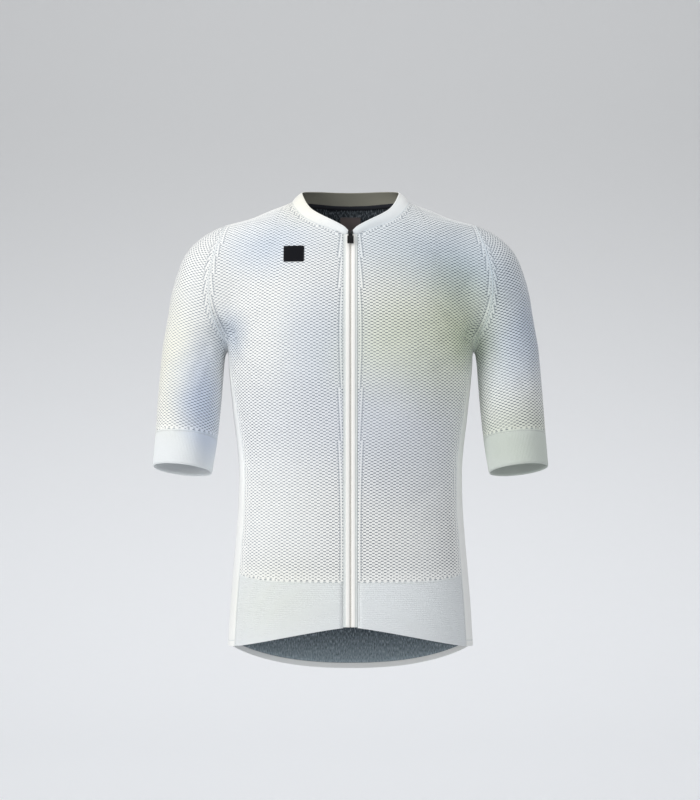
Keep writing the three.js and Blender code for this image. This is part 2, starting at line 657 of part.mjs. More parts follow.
// Zip slider and pull, set square to the chest: x across, y outwards from the cloth, z up it
const SLIDER = { width: 6.2, height: 11, thickness: 2.6, top: -41.5, lift: 0.35 };
const PIN = { radius: 0.6, out: 1.85, down: 6.8, earInner: 1.75, earOuter: 2.9, earRadius: 1.3 };
const PULL = { width: 9, length: 15, thickness: 1.7, neck: 2.4 };
const KNUCKLE = { half: 1.4, radius: 1.5, bore: 0.95 };

const wasm = await Module();
wasm.setup();

function solid(geometry, x = 0, y = 0, z = 0) {
  const plain = new THREE.BufferGeometry();
  const loose = geometry.index ? geometry.toNonIndexed() : geometry;
  plain.setAttribute("position", loose.getAttribute("position").clone());
  plain.translate(x, y, z);
  const merged = mergeVertices(plain, 1e-4);
  return new wasm.Manifold(
    new wasm.Mesh({
      numProp: 3,
      vertProperties: new Float32Array(merged.attributes.position.array),
      triVerts: new Uint32Array(merged.index.array),
    }),
  );
}

function geometryOf(manifold) {
  const mesh = manifold.getMesh();
  const geometry = new THREE.BufferGeometry();
  geometry.setAttribute("position", new THREE.Float32BufferAttribute([...mesh.vertProperties], 3));
  geometry.setIndex([...mesh.triVerts]);
  geometry.computeVertexNormals();
  return geometry;
}

// A plate in the x-z plane with rounded corners, its middle plane at y = 0.
function plate(width, height, thickness, corner) {
  const [w, h] = [width / 2, height / 2];
  const outline = new THREE.Shape();
  const turn = Math.PI / 2;
  outline.absarc(w - corner, -h + corner, corner, -turn, 0);
  outline.absarc(w - corner, h - corner, corner, 0, turn);
  outline.absarc(-w + corner, h - corner, corner, turn, 2 * turn);
  outline.absarc(-w + corner, -h + corner, corner, 2 * turn, 3 * turn);
  const shape = { depth: thickness, bevelEnabled: false, curveSegments: 4 };
  return new THREE.ExtrudeGeometry(outline, shape).translate(0, 0, -thickness / 2).rotateX(turn);
}

// A round bar along x.
const bar = (radius, length) => new THREE.CylinderGeometry(radius, radius, length, 16).rotateZ(Math.PI / 2);

function sliderGeometry() {
  const { width, height, thickness } = SLIDER;
  const pinY = thickness + PIN.out;
  const pinZ = -PIN.down;
  let made = solid(plate(width, height, thickness, 1.6), 0, thickness / 2, -height / 2);
  const earDepth = PIN.out + 0.4;
  const earX = (PIN.earInner + PIN.earOuter) / 2;
  for (const x of [-earX, earX]) {
    const earWidth = PIN.earOuter - PIN.earInner;
    const stem = new THREE.BoxGeometry(earWidth, earDepth, 2 * PIN.earRadius);
    made = made.add(solid(stem, x, pinY - earDepth / 2, pinZ));
    made = made.add(solid(bar(PIN.earRadius, earWidth), x, pinY, pinZ));
  }
  return geometryOf(made.add(solid(bar(PIN.radius, 2 * earX), 0, pinY, pinZ)));
}

// The pull hangs from the pin, which lies at its own origin.
function pullGeometry() {
  const tongue = PULL.length - PULL.neck;
  let made = solid(plate(PULL.width, tongue, PULL.thickness, 1.2), 0, 0, -PULL.neck - tongue / 2);
  const neckWidth = 2 * KNUCKLE.half;
  const neck = new THREE.BoxGeometry(neckWidth, PULL.thickness, PULL.neck + 0.4);
  made = made.add(solid(neck, 0, 0, -PULL.neck / 2));
  made = made.add(solid(bar(KNUCKLE.radius, neckWidth)));
  return geometryOf(made.subtract(solid(bar(KNUCKLE.bore, neckWidth + 2))));
}

// Materials
const cloth = (color, roughness = 0.85) =>
  new THREE.MeshStandardMaterial({ color, roughness, metalness: 0, side: THREE.DoubleSide });
const MESH_CLOTH = cloth(0xeef1f3);
const SMOOTH_CLOTH = cloth(0xf1f2f2, 0.8);
const RIB_CLOTH = cloth(0xe9edef, 0.8);
const TAPE_CLOTH = cloth(0xf3f2ec, 0.75);
const PATCH_CLOTH = cloth(0x14161c, 0.6);
const LABEL_CLOTH = cloth(0x4a4a4c, 0.9);
const CHAIN = new THREE.MeshStandardMaterial({ color: 0xd9d8d4, roughness: 0.5, metalness: 0 });
const BLACK = new THREE.MeshStandardMaterial({ color: 0x101114, roughness: 0.45, metalness: 0.1 });

const jersey = new THREE.Group();
function addPiece(name, geometry, material, parent = jersey) {
  const mesh = new THREE.Mesh(geometry, material);
  mesh.name = name;
  parent.add(mesh);
  return mesh;
}

// A tall panel, as a lower and an upper solid that part along one row, just below the underarm.
function addTall(name, grid, row) {
  addPiece(name, wall(drawIn(grid.slice(0, row + 1)), -CLOTH, 0), MESH_CLOTH);
  addPiece(`${name}_top`, wall(drawIn(grid.slice(row)), -CLOTH, 0), MESH_CLOTH);
}

const SIDES = [
  { name: "right", side: -1 },
  { name: "left", side: 1 },
];
const chainEdges = [];
for (const { name, side } of SIDES) {
  const { panel, band, tape, chainEdge } = frontPieces(side);
  chainEdges.push(chainEdge);
  addTall(`front_${name}`, panel, SIDE_ROWS - 1);
  addPiece(`hem_front_${name}`, wall(drawIn(band), -CLOTH, 0), RIB_CLOTH);
  addPiece(`zip_tape_${name}`, wall(drawIn(tape), -CLOTH, ZIP_TAPE_PROUD), TAPE_CLOTH);
  addPiece(`side_panel_${name}`, wall(drawIn(sidePanel(side)), -CLOTH, 0), SMOOTH_CLOTH);
  addPiece(`sleeve_${name}`, wall(drawIn(sleeve(side), true), -CLOTH, 0, true), MESH_CLOTH);
  addPiece(`cuff_${name}`, wall(drawIn(cuff(side), true), -CUFF_CLOTH, 0, true), RIB_CLOTH);
}

const back = backPanel();
addTall("back", back, SIDE_ROWS + 1);
addPiece("hem_back", wall(drawIn(backBand()), -CLOTH, 0), RIB_CLOTH);
addPiece("collar", wall(drawIn(collar()), -COLLAR_CLOTH, 0), SMOOTH_CLOTH);

const chain = chainEdges[0].map((point, i) => [point, chainEdges[1][i]]);
addPiece("zip_chain", wall(chain, -CLOTH, -ZIP_CHAIN_SUNK), CHAIN);

// Pockets: one cloth over the lower back, on the back panel's own points
const POCKET = { firstRow: 1, lastRow: 4, margin: 1, thickness: 1.4 };
const pocketGrid = back
  .slice(POCKET.firstRow, POCKET.lastRow + 1)
  .map((row) => row.slice(POCKET.margin, row.length - POCKET.margin));
addPiece("rear_pockets", wall(pocketGrid, LAYER_GAP, LAYER_GAP + POCKET.thickness), MESH_CLOTH);

// Neck label: inside the back panel, on the points of its two middle columns
const LABEL = { halfWidth: 15, top: -9, height: 22, thickness: 1, columns: 2, rows: 2 };
function backPointAt(x, z) {
  const middle = BACK_COLUMNS / 2;
  const r = back.findIndex((row) => row[middle].point.z > z) - 1;
  const t = (z - back[r][middle].point.z) / (back[r + 1][middle].point.z - back[r][middle].point.z);
  const [near, far] = [middle, middle + Math.sign(x)].map((c) => ({
    point: back[r][c].point.clone().lerp(back[r + 1][c].point, t),
    normal: back[r][c].normal.clone().lerp(back[r + 1][c].normal, t),
  }));
  const s = x === 0 ? 0 : x / far.point.x;
  return { point: near.point.lerp(far.point, s), normal: near.normal.lerp(far.normal, s) };
}
const labelGrid = fractions(LABEL.rows).map((t) =>
  fractions(LABEL.columns).map((u) =>
    backPointAt(LABEL.halfWidth * (2 * u - 1), LABEL.top - LABEL.height * (1 - t)),
  ),
);
const labelFace = -CLOTH - LAYER_GAP;
addPiece("neck_label", wall(labelGrid, labelFace - LABEL.thickness, labelFace), LABEL_CLOTH);

addPiece("chest_patch", wall(chestPatch(), LAYER_GAP, LAYER_GAP + PATCH.thickness), PATCH_CLOTH);

// The slider sits on the zip's top end, square to the cloth there
const seat = frontAt(0, SLIDER.top - SLIDER.height / 2);
const slider = new THREE.Group();
slider.position.copy(seat.point).addScaledVector(seat.normal, SLIDER.lift + ZIP_TAPE_PROUD);
const uphill = at(0, 0, 1).addScaledVector(seat.normal, -seat.normal.z).normalize();
const across = seat.normal.clone().cross(uphill);
slider.quaternion.setFromRotationMatrix(new THREE.Matrix4().makeBasis(across, seat.normal, uphill));
jersey.add(slider);
const upTheCloth = SLIDER.height / 2;
const sliderMesh = addPiece("zip_slider", sliderGeometry(), BLACK, slider);
sliderMesh.position.set(0, 0, upTheCloth);
const pullMesh = addPiece("zip_pull", pullGeometry(), BLACK, slider);
pullMesh.position.set(0, SLIDER.thickness + PIN.out, upTheCloth - PIN.down);

export default jersey;
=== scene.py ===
"""A cycling jersey in its worn form: open knit, ribbed bands, seams, zip, patch and label.

Lengths are in millimetres until a mesh is made. +X is the wearer's left, -Y the front and +Z up.
"""
import math

import bpy
import numpy as np
from mathutils import Matrix, Vector
from mathutils.geometry import delaunay_2d_cdt


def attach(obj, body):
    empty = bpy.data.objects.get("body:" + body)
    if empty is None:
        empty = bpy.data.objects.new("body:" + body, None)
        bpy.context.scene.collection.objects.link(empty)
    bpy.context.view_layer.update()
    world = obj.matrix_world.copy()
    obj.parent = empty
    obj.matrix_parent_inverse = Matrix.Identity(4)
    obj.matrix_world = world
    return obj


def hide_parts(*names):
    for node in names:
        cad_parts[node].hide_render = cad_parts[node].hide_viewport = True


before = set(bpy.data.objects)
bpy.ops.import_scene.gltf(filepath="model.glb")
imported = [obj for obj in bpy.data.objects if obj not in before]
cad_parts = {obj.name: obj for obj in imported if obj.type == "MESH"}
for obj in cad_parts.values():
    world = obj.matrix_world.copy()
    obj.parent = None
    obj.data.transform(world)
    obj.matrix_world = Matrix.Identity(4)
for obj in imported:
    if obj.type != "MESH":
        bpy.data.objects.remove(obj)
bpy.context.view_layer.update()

MM = 0.001


def table(names, *rows):
    """A table's columns by name."""
    return dict(zip(names.split(), np.array(rows, float).T))


# Driving dimensions of the cut
RIDGE_Y = 5
SIDE_Z = -635
HEM_FRONT_RISE = 36
HEM_BACK_DROP = 48
HEM_FOLD = 8
POCKET_RISE = 40
POCKET_TOP_Z = -456.6
BAND_SEAM_Z = -537
BAND_SEAM_LIFT = 8
CHEST_Z = -212
ZIP_EDGE_X = 10.15
ZIP_CHAIN_HALF = 0.9
LAYER_GAP = 0.4
ARM_DEPTH = 1.06
ARMHOLE_CENTRE_Z = -112
UNDERARM_ANGLE = 167
ELBOW_SIDE_STEP = 6.25
CUFF_SEAM_STEP = 7.97
CUFF_END_STEP = 8.93
ARMHOLE_PLACES = 14
RING_PLACES = 16

# Level sections of the torso: half width, depths from the ridge plane and the section's exponent
TORSO = table(
    "z half front back square",
    (-720, 178.5, 113, 113, 2.3),
    (-640, 177.5, 112, 115, 2.3),
    (-580, 174.3, 109, 113, 2.3),
    (-530, 170.3, 106, 107, 2.3),
    (-480, 166, 104, 99, 2.3),
    (-430, 162.5, 104, 94, 2.3),
    (-370, 162.3, 107, 95, 2.3),
    (-300, 169.8, 114, 101, 2.3),
    (-240, 175.8, 121, 108, 2.3),
    (-200, 177.6, 124, 112, 2.3),
    (-150, 181, 122, 114, 2.25),
    (-100, 185, 108, 107, 2.2),
    (-60, 186, 90, 94, 2.15),
    (-40, 184, 80, 84, 2.1),
    (-28, 174.5, 74, 77, 2.05),
    (-17, 143, 69, 72, 2),
    (-6, 117, 64, 68, 2),
    (3, 93, 60, 65, 2),
    (8, 84, 57, 62, 2),
    (30, 66, 50, 55, 2),
)

# Centre line and radius of the wearer's left arm tube, from inside the shoulder to past the cuff
ARM = table(
    "step x y z radius",
    (0, 150, 8, -90, 49),
    (1, 188, 8, -93, 53),
    (2, 199, 8, -112, 54),
    (3, 209, 8, -137, 51.5),
    (4, 216, 7, -165, 49),
    (5, 222.3, 5, -190, 46.9),
    (6, 227.4, 1, -215, 45.6),
    (7, 232.5, -10, -283, 45.6),
    (8, 236.4, -19, -333, 44.6),
    (9, 241.8, -30, -383, 42.6),
    (10, 244.6, -36, -410, 41.6),
)
ARM_SEGMENTS = 48

# How widely the arm and the torso run into each other, at each height
BLEND = table(
    "z width",
    (-720, 4),
    (-214, 4),
    (-200, 8),
    (-185, 18),
    (-160, 32),
    (-110, 40),
    (-60, 30),
    (30, 26),
)

# The armhole seam, seen from the front
ARMHOLE = table(
    "z x",
    (-260, 178.4),
    (-212, 178.4),
    (-203, 178.9),
    (-195, 180.8),
    (-185, 185.2),
    (-168, 194),
    (-148, 200),
    (-120, 203),
    (-94, 200.5),
    (-69, 194.5),
    (-49, 187.5),
    (-28, 180.5),
    (0, 176),
)

# Front and back seams of the side panel, as angles round the torso from the centre front
SIDE_PANEL = table(
    "z front back",
    (-720, 68, 110),
    (-420, 68, 110),
    (-320, 70, 108),
    (-250, 76, 103),
    (-200, 83, 97),
)

# Half of the collar, from its front end to the centre back: its seam on the jersey and its free edge
COLLAR = table(
    "step seam_x seam_z edge_x edge_y edge_z",
    (0, 3.5, -45, 3.5, -77.5, -39),
    (1, 10.15, -45, 9.5, -76.5, -33.5),
    (2, 24, -38.5, 21, -74, -27),
    (3, 38.5, -33, 33.5, -69.5, -20.5),
    (4, 52, -27.5, 45.5, -63, -14),
    (5, 64.5, -20.5, 56, -53.5, -6.5),
    (6, 74, -11.5, 63.5, -40, 3.5),
    (7, 80.5, -2.5, 68.5, -19, 14.5),
    (8, 84, 7.8, 70.5, 6, 21.5),
    (9, 80, 7.6, 65.5, 26, 24.5),
    (10, 67, 7, 55, 42.5, 26),
    (11, 49, 6, 41, 53, 26.6),
    (12, 25, 4.6, 21.5, 60, 26.4),
    (13, 0, 4, 0, 62.5, 26.2),
)
COLLAR_ZIP_STEP = 1
COLLAR_SIDE_STEP = 8
COLLAR_BACK_STEP = 13

# The largest folds, each a line between two points with a width and a height
LARGE_FOLDS = table(
    "x0 y0 z0 x1 y1 z1 width height",
    (176, -46, -196, 128, -102, -142, 15, -2.6),
    (-174, -48, -200, -118, -108, -158, 16, -2.4),
    (168, -66, -236, 112, -112, -214, 18, -1.8),
    (-168, -62, -250, -128, -104, -300, 18, -1.8),
    (196, -44, -196, 246, -52, -252, 15, -2.8),
    (-194, -46, -190, -252, -44, -236, 15, -3),
    (196, 56, -192, 244, 48, -250, 16, -2.6),
    (-196, 56, -196, -248, 46, -242, 16, -2.4),
    (168, 62, -206, 96, 112, -170, 18, -2.4),
    (-168, 60, -210, -104, 108, -182, 18, -2.2),
    (150, 56, -430, 58, 98, -404, 20, -2.2),
    (-152, 54, -446, -70, 98, -424, 20, -2),
)

# Finer creases, seen from the front or the back: where each starts and ends, its width and its height
CREASES = table(
    "face x0 z0 x1 z1 width height",
    (-1, 195, -136, 191, -151, 6, -0.8),
    (-1, 191, -151, 185, -166, 6.5, -1.7),
    (-1, 185, -166, 176, -179, 7, -2.6),
    (-1, 176, -179, 170, -192, 7, -3),
    (-1, -196, -140, -191, -154, 6, -0.9),
    (-1, -191, -154, -184, -168, 6.5, -1.9),
    (-1, -184, -168, -175, -181, 7, -2.8),
    (-1, -175, -181, -169, -194, 7, -3.2),
    (-1, 172, -186, 142, -164, 8, -2),
    (-1, 170, -196, 134, -194, 8, -1.7),
    (-1, 168, -208, 128, -234, 9, -1.5),
    (-1, -171, -188, -147, -160, 8, -1.9),
    (-1, -169, -200, -132, -206, 8, -1.8),
    (-1, -167, -214, -126, -248, 9, -1.5),
    (-1, 163, -172, 134, -142, 7, 0.8),
    (-1, -162, -178, -136, -150, 7, 0.8),
    (-1, 150, -210, 110, -226, 9, 0.7),
    (-1, -150, -222, -112, -250, 9, 0.7),
    (-1, 116, -176, 62, -196, 14, -0.9),
    (-1, -112, -190, -66, -222, 14, -0.8),
    (-1, 96, -262, 40, -292, 16, -0.7),
    (-1, -120, -330, -60, -366, 16, -0.8),
    (-1, 142, -384, 96, -420, 12, -0.9),
    (-1, -146, -392, -104, -420, 12, -1),
    (-1, 150, -446, 112, -456, 11, -0.8),
    (-1, -152, -462, -118, -478, 11, -0.9),
    (-1, 88, -40, 128, -74, 13, -0.9),
    (-1, -92, -44, -126, -82, 13, -0.9),
    (-1, 205, -210, 222, -252, 7, -1.3),
    (-1, 201, -226, 214, -272, 7, -1),
    (-1, 218, -190, 246, -210, 9, -1.1),
    (-1, 214, -300, 246, -318, 11, -1),
    (-1, -204, -206, -224, -246, 7, -1.4),
    (-1, -200, -222, -212, -270, 7, -1),
    (-1, -216, -184, -248, -200, 9, -1.1),
    (-1, -212, -306, -244, -330, 11, -1),
    (1, 176, -182, 150, -160, 8, -1.3),
    (1, -175, -186, -146, -168, 8, -1.3),
    (1, 172, -204, 128, -222, 9, -1.2),
    (1, -171, -208, -132, -236, 9, -1.1),
    (1, 120, -92, 66, -60, 13, -0.9),
    (1, -112, -96, -70, -70, 13, -0.8),
    (1, 132, -300, 70, -330, 15, -0.9),
    (1, -128, -316, -74, -352, 15, -0.9),
    (1, 138, -400, 86, -434, 12, -1),
    (1, -142, -392, -84, -414, 12, -1),
    (1, 206, -214, 226, -262, 8, -1.2),
    (1, -204, -210, -222, -254, 8, -1.2),
    (1, 214, -306, 248, -322, 11, -1),
    (1, -212, -298, -246, -318, 11, -1),
)


def mix(a, b, t):
    return a + (b - a) * t


def fractions(count):
    return np.linspace(0, 1, count + 1)


def unit(v):
    return v / np.maximum(np.linalg.norm(v, axis=-1, keepdims=True), 1e-9)


def lookup(rows, key, column, value):
    """The value of a table's column at a key, on a smooth curve through its rows."""
    keys, values = rows[key], rows[column]
    last = len(keys) - 1
    v = np.clip(value, keys[0], keys[last])
    i = np.clip(np.searchsorted(keys, v) - 1, 0, last - 1)

    def slope(a, b):
        return (values[b] - values[a]) / (keys[b] - keys[a])

    width = keys[i + 1] - keys[i]
    here = slope(np.maximum(i - 1, 0), i + 1)
    after = slope(i, np.minimum(i + 2, last))
    t = (v - keys[i]) / width
    rise = t * t * (3 - 2 * t)
    bend = width * (here * t * (1 - t) ** 2 - after * t * t * (1 - t))
    return mix(values[i], values[i + 1], rise) + bend


def arm_at(step):
    """Centre and radius of the arm tube at a step."""
    centre = np.array([lookup(ARM, "step", axis, step) for axis in "xyz"])
    return centre, lookup(ARM, "step", "radius", step)


ARM_STEPS = fractions(ARM_SEGMENTS) * ARM["step"][-1]
ARM_POINTS = np.stack([lookup(ARM, "step", axis, ARM_STEPS) for axis in "xyz"], 1) / (1, ARM_DEPTH, 1)
ARM_RADII = lookup(ARM, "step", "radius", ARM_STEPS)
ARM_RUNS = np.diff(ARM_POINTS, axis=0)
ARM_REACH_X = 55
FAR_LEVEL = 500


def torso_level(p):
    """Rough distance outside the torso, negative within it."""
    z = p[:, 2]
    half = lookup(TORSO, "z", "half", z)
    depth = np.where(p[:, 1] < RIDGE_Y, lookup(TORSO, "z", "front", z), lookup(TORSO, "z", "back", z))
    square = lookup(TORSO, "z", "square", z)
    total = (np.abs(p[:, 0]) / half) ** square + (np.abs(p[:, 1] - RIDGE_Y) / depth) ** square
    return (total ** (1 / square) - 1) * np.minimum(half, depth)


def arm_level(p):
    """Distance outside the nearer arm, negative within it."""
    level = np.full(len(p), float(FAR_LEVEL))
    near = np.abs(p[:, 0]) > ARM_REACH_X
    q = np.abs(p[near]) * (1, 0, 0) + p[near] * (0, 1 / ARM_DEPTH, 1)
    off = q[:, None] - ARM_POINTS[:-1]
    t = np.clip((off * ARM_RUNS).sum(2) / (ARM_RUNS**2).sum(1), 0, 1)
    away = np.linalg.norm(off - t[..., None] * ARM_RUNS, axis=2)
    level[near] = (away - mix(ARM_RADII[:-1], ARM_RADII[1:], t)).min(1)
    return level


def body_level(p):
    """Zero on the jersey's outer surface: the torso and the arms, run together."""
    torso, arm = torso_level(p), arm_level(p)
    width = lookup(BLEND, "z", "width", p[:, 2])
    near = np.maximum(width - np.abs(torso - arm), 0) / width
    return np.minimum(torso, arm) - near * near * width / 4


def gradient(p):
    h = 0.4
    steps = np.concatenate([np.eye(3), -np.eye(3)]) * h
    level = body_level((p[None] + steps[:, None]).reshape(-1, 3)).reshape(6, -1)
    return ((level[:3] - level[3:]) / (2 * h)).T


def settle(points):
    """The nearest points of the outer surface, without its folds."""
    shape = np.shape(points)
    q = np.array(points, float).reshape(-1, 3)
    for _ in range(12):
        g = gradient(q)
        move = np.clip(-body_level(q) / (g * g).sum(1), -12, 12)
        q += g * move[:, None]
        if np.abs(move).max() < 1e-3:
            break
    return q.reshape(shape)


def crossing(path, inside, outside, count):
    """Where the surface lies along each of count paths, between an inside and an outside value."""
    low, high = np.full(count, float(inside)), np.full(count, float(outside))
    for _ in range(20):
        middle = (low + high) / 2
        within = body_level(path(middle)) < 0
        low, high = np.where(within, middle, low), np.where(within, high, middle)
    return settle(path((low + high) / 2))


def level_at(x, z, face):
    """The points in front (face -1) or behind (face 1) at places seen from the front."""
    x, z = np.broadcast_arrays(np.atleast_1d(np.array(x, float)), np.atleast_1d(np.array(z, float)))
    return crossing(lambda y: np.stack([x, y, z], 1), RIDGE_Y, face * 230, len(x))


def folds_from(x0, x1, width, height):
    return {"start": x0, "run": x1 - x0, "width": width, "height": height}


LARGE = folds_from(
    np.stack([LARGE_FOLDS[c] for c in ("x0", "y0", "z0")], 1),
    np.stack([LARGE_FOLDS[c] for c in ("x1", "y1", "z1")], 1),
    LARGE_FOLDS["width"],
    LARGE_FOLDS["height"],
)


def crease_ends(number):
    ends = np.zeros((len(CREASES["face"]), 3))
    for face in (-1, 1):
        on = CREASES["face"] == face
        ends[on] = level_at(CREASES[f"x{number}"][on], CREASES[f"z{number}"][on], face)
    return ends


FINE = folds_from(crease_ends(0), crease_ends(1), CREASES["width"], CREASES["height"])


def fold_height(p):
    """How far the folds raise or sink the surface at each point."""
    height = np.zeros(len(p))
    for folds in (LARGE, FINE):
        off = p[:, None] - folds["start"]
        t = np.clip((off * folds["run"]).sum(2) / (folds["run"] ** 2).sum(1), 0, 1)
        away = np.linalg.norm(off - t[..., None] * folds["run"], axis=2) / folds["width"]
        height += (folds["height"] * np.exp(-away * away)).sum(1)
    return height


def torso_at(degrees, z, side):
    """Points of the torso's sections at angles round from the centre front, on one side."""
    degrees, z = np.broadcast_arrays(np.atleast_1d(degrees).astype(float), z)
    turn = np.radians(degrees)
    power = 2 / lookup(TORSO, "z", "square", z)
    x = lookup(TORSO, "z", "half", z) * np.abs(np.sin(turn)) ** power
    along = np.abs(np.cos(turn)) ** power
    front, back = lookup(TORSO, "z", "front", z), lookup(TORSO, "z", "back", z)
    y = RIDGE_Y + np.where(degrees < 90, -front, back) * along
    return np.stack([side * x, y, z], 1)


def hem_z(degrees):
    """Height of the hem at an angle round from the centre front."""
    turn = np.radians(degrees)
    front = SIDE_Z + HEM_FRONT_RISE * (1 - np.abs(np.sin(turn)) ** 1.1)
    back = SIDE_Z - HEM_BACK_DROP * np.abs(np.cos(turn)) ** 1.4
    return np.where(np.asarray(degrees) < 90, front, back)


def armhole(degrees, face, side):
    """The armhole seam, at angles from the shoulder point to the underarm; face is -1 in front."""
    turn = np.radians(np.atleast_1d(degrees))

    def ray(r):
        z = ARMHOLE_CENTRE_Z + r * np.cos(turn)
        y = RIDGE_Y + face * r * np.sin(turn)
        return np.stack([side * lookup(ARMHOLE, "z", "x", z), y, z], 1)

    return crossing(ray, 0, 150, len(turn))


def neck_points():
    """The collar's seam at each step of its table, on the wearer's left."""
    x, z = COLLAR["seam_x"], COLLAR["seam_z"]
    front, back = level_at(x, z, -1), level_at(x, z, 1)
    points = np.where((COLLAR["step"] < COLLAR_SIDE_STEP)[:, None], front, back)
    points[COLLAR_SIDE_STEP] = settle([[x[COLLAR_SIDE_STEP], RIDGE_Y, z[COLLAR_SIDE_STEP]]])[0]
    return points


NECK = dict(zip(("step", "x", "y", "z"), [COLLAR["step"], *neck_points().T]))


def neck_at(step, side):
    points = np.stack([lookup(NECK, "step", axis, step) for axis in "xyz"], 1)
    return settle(points * (side, 1, 1))


def shoulder_at(t, side):
    """The shoulder seam, from the collar at t = 0 to the armhole at t = 1."""
    neck, tip = neck_at(np.array([COLLAR_SIDE_STEP]), side), armhole(0, -1, side)
    return settle(mix(neck, tip, t[:, None]))


def side_seam(z, column, face, side):
    """The side panel's front or back seam, at heights up to the armhole."""
    top = armhole(UNDERARM_ANGLE, face, side)
    start = torso_at(lookup(SIDE_PANEL, "z", column, z), z, side)
    rise = np.clip((z - top[0, 2] + 60) / 60, 0, 1) ** 2
    start[:, :2] = mix(start[:, :2], top[:, :2], rise[:, None])
    return settle(start)


def side_low(column):
    """Height of the hem at a side seam."""
    return float(hem_z(lookup(SIDE_PANEL, "z", column, SIDE_Z)))


def spacing(line):
    """How far along each point of a line lies, from 0 to 1."""
    run = np.concatenate([[0], np.cumsum(np.linalg.norm(np.diff(line, axis=0), axis=1))])
    return run / run[-1]


def patch(lower, upper, left, right):
    """A grid of settled points between four lines, in rows from the lower line to the upper one."""
    rows, columns = len(left), len(lower)
    s0, s1, t0, t1 = [spacing(line) for line in (lower, upper, left, right)]
    t = mix(t0[:, None], t1[:, None], fractions(columns - 1))[..., None]
    s = mix(s0, s1, t[..., 0])[..., None]
    grid = mix(left[:, None], right[:, None], s) + mix(lower, upper, t)
    grid = grid - mix(mix(lower[0], lower[-1], s), mix(upper[0], upper[-1], s), t)
    grid[1:-1, 1:-1] = settle(grid[1:-1, 1:-1])
    grid[0], grid[-1] = lower, upper
    grid[1:-1, 0], grid[1:-1, -1] = left[1:-1], right[1:-1]
    return grid


# Rows and columns of the coarse grids; each count is even, as the flat cut is worked out on every second point
SIDE_ROWS = 44
ARM_ROWS = 28
NECK_COLUMNS = 20
SHOULDER_COLUMNS = 16
UNDERARM_COLUMNS = 12
BAND_ROWS = 12


def band_height(degrees):
    return BAND_SEAM_Z + BAND_SEAM_LIFT * np.clip(degrees / 68, 0, 1) ** 4


def front_line(height_at, side, count):
    """A nearly level line round the front, from the zip's edge to the side panel."""
    first = height_at(np.array(0.0))
    half, square = lookup(TORSO, "z", "half", first), lookup(TORSO, "z", "square", first)
    start = math.degrees(math.asin((ZIP_EDGE_X / half) ** (square / 2)))
    degrees = mix(start, lookup(SIDE_PANEL, "z", "front", SIDE_Z), fractions(count))
    line = settle(torso_at(degrees, height_at(degrees), side))
    line[0] = level_at(side * ZIP_EDGE_X, height_at(degrees[:1]), -1)[0]
    return line


def top_line(steps, side):
    """The neck seam at some steps of the collar's table, then the shoulder seam out to the armhole."""
    return np.concatenate([neck_at(steps, side), shoulder_at(fractions(SHOULDER_COLUMNS), side)[1:]])


def outer_line(low, column, face, side):
    """The side seam from a height up, then the armhole up to the shoulder."""
    top = armhole(UNDERARM_ANGLE, face, side)[0, 2]
    seam = side_seam(mix(low, top, fractions(SIDE_ROWS)), column, face, side)
    angles = UNDERARM_ANGLE * (1 - fractions(ARM_ROWS))
    return np.concatenate([seam[:-1], armhole(angles, face, side)])


def front_grid(side):
    lower = front_line(band_height, side, NECK_COLUMNS + SHOULDER_COLUMNS)
    steps = mix(COLLAR_ZIP_STEP, COLLAR_SIDE_STEP, fractions(NECK_COLUMNS))
    upper = top_line(steps, side)
    low, high = lower[0, 2], upper[0, 2]
    heights = np.concatenate([mix(low, CHEST_Z, fractions(SIDE_ROWS))[:-1], mix(CHEST_Z, high, fractions(ARM_ROWS))])
    left = level_at(side * ZIP_EDGE_X, heights, -1)
    return patch(lower, upper, left, outer_line(BAND_SEAM_Z + BAND_SEAM_LIFT, "front", -1, side))


def band_grid(side):
    """The front's hem band, from the hem up to the mesh."""
    columns = NECK_COLUMNS + SHOULDER_COLUMNS
    lower, upper = front_line(hem_z, side, columns), front_line(band_height, side, columns)
    left = level_at(side * ZIP_EDGE_X, mix(lower[0, 2], upper[0, 2], fractions(BAND_ROWS)), -1)
    heights = mix(side_low("front"), BAND_SEAM_Z + BAND_SEAM_LIFT, fractions(BAND_ROWS))
    return patch(lower, upper, left, side_seam(heights, "front", -1, side))


def back_line(lift, start, end, count):
    """A line at a lift over the hem, round the back from one angle to the other."""
    turned = mix(start, end, fractions(count))
    degrees = np.where(turned > 180, 360 - turned, turned)
    return settle(torso_at(degrees, hem_z(degrees) + lift, 1) * np.stack(
        [np.where(turned > 180, 1, -1), np.ones(count + 1), np.ones(count + 1)], 1))


def back_grid():
    angle = lookup(SIDE_PANEL, "z", "back", SIDE_Z)
    lower = back_line(HEM_FOLD, angle, 360 - angle, 2 * (NECK_COLUMNS + SHOULDER_COLUMNS))
    steps = mix(COLLAR_BACK_STEP, COLLAR_SIDE_STEP, fractions(NECK_COLUMNS))
    upper = np.concatenate([top_line(steps, -1)[::-1], top_line(steps, 1)[1:]])
    low = side_low("back") + HEM_FOLD
    return patch(lower, upper, *[outer_line(low, "back", 1, side) for side in (-1, 1)])


def side_grid(side):
    front, back = [lookup(SIDE_PANEL, "z", column, SIDE_Z) for column in ("front", "back")]
    degrees = mix(front, back, fractions(UNDERARM_COLUMNS))
    lower = settle(torso_at(degrees, hem_z(degrees) + HEM_FOLD, side))
    turn = mix(UNDERARM_ANGLE, 180, fractions(UNDERARM_COLUMNS // 2))
    upper = np.concatenate([armhole(turn, -1, side), armhole(turn[::-1], 1, side)[1:]])
    edges = []
    for column, face in (("front", -1), ("back", 1)):
        top = armhole(UNDERARM_ANGLE, face, side)[0, 2]
        heights = mix(side_low(column) + HEM_FOLD, top, fractions(SIDE_ROWS + BAND_ROWS))
        edges.append(side_seam(heights, column, face, side))
    return patch(lower, upper, *edges)


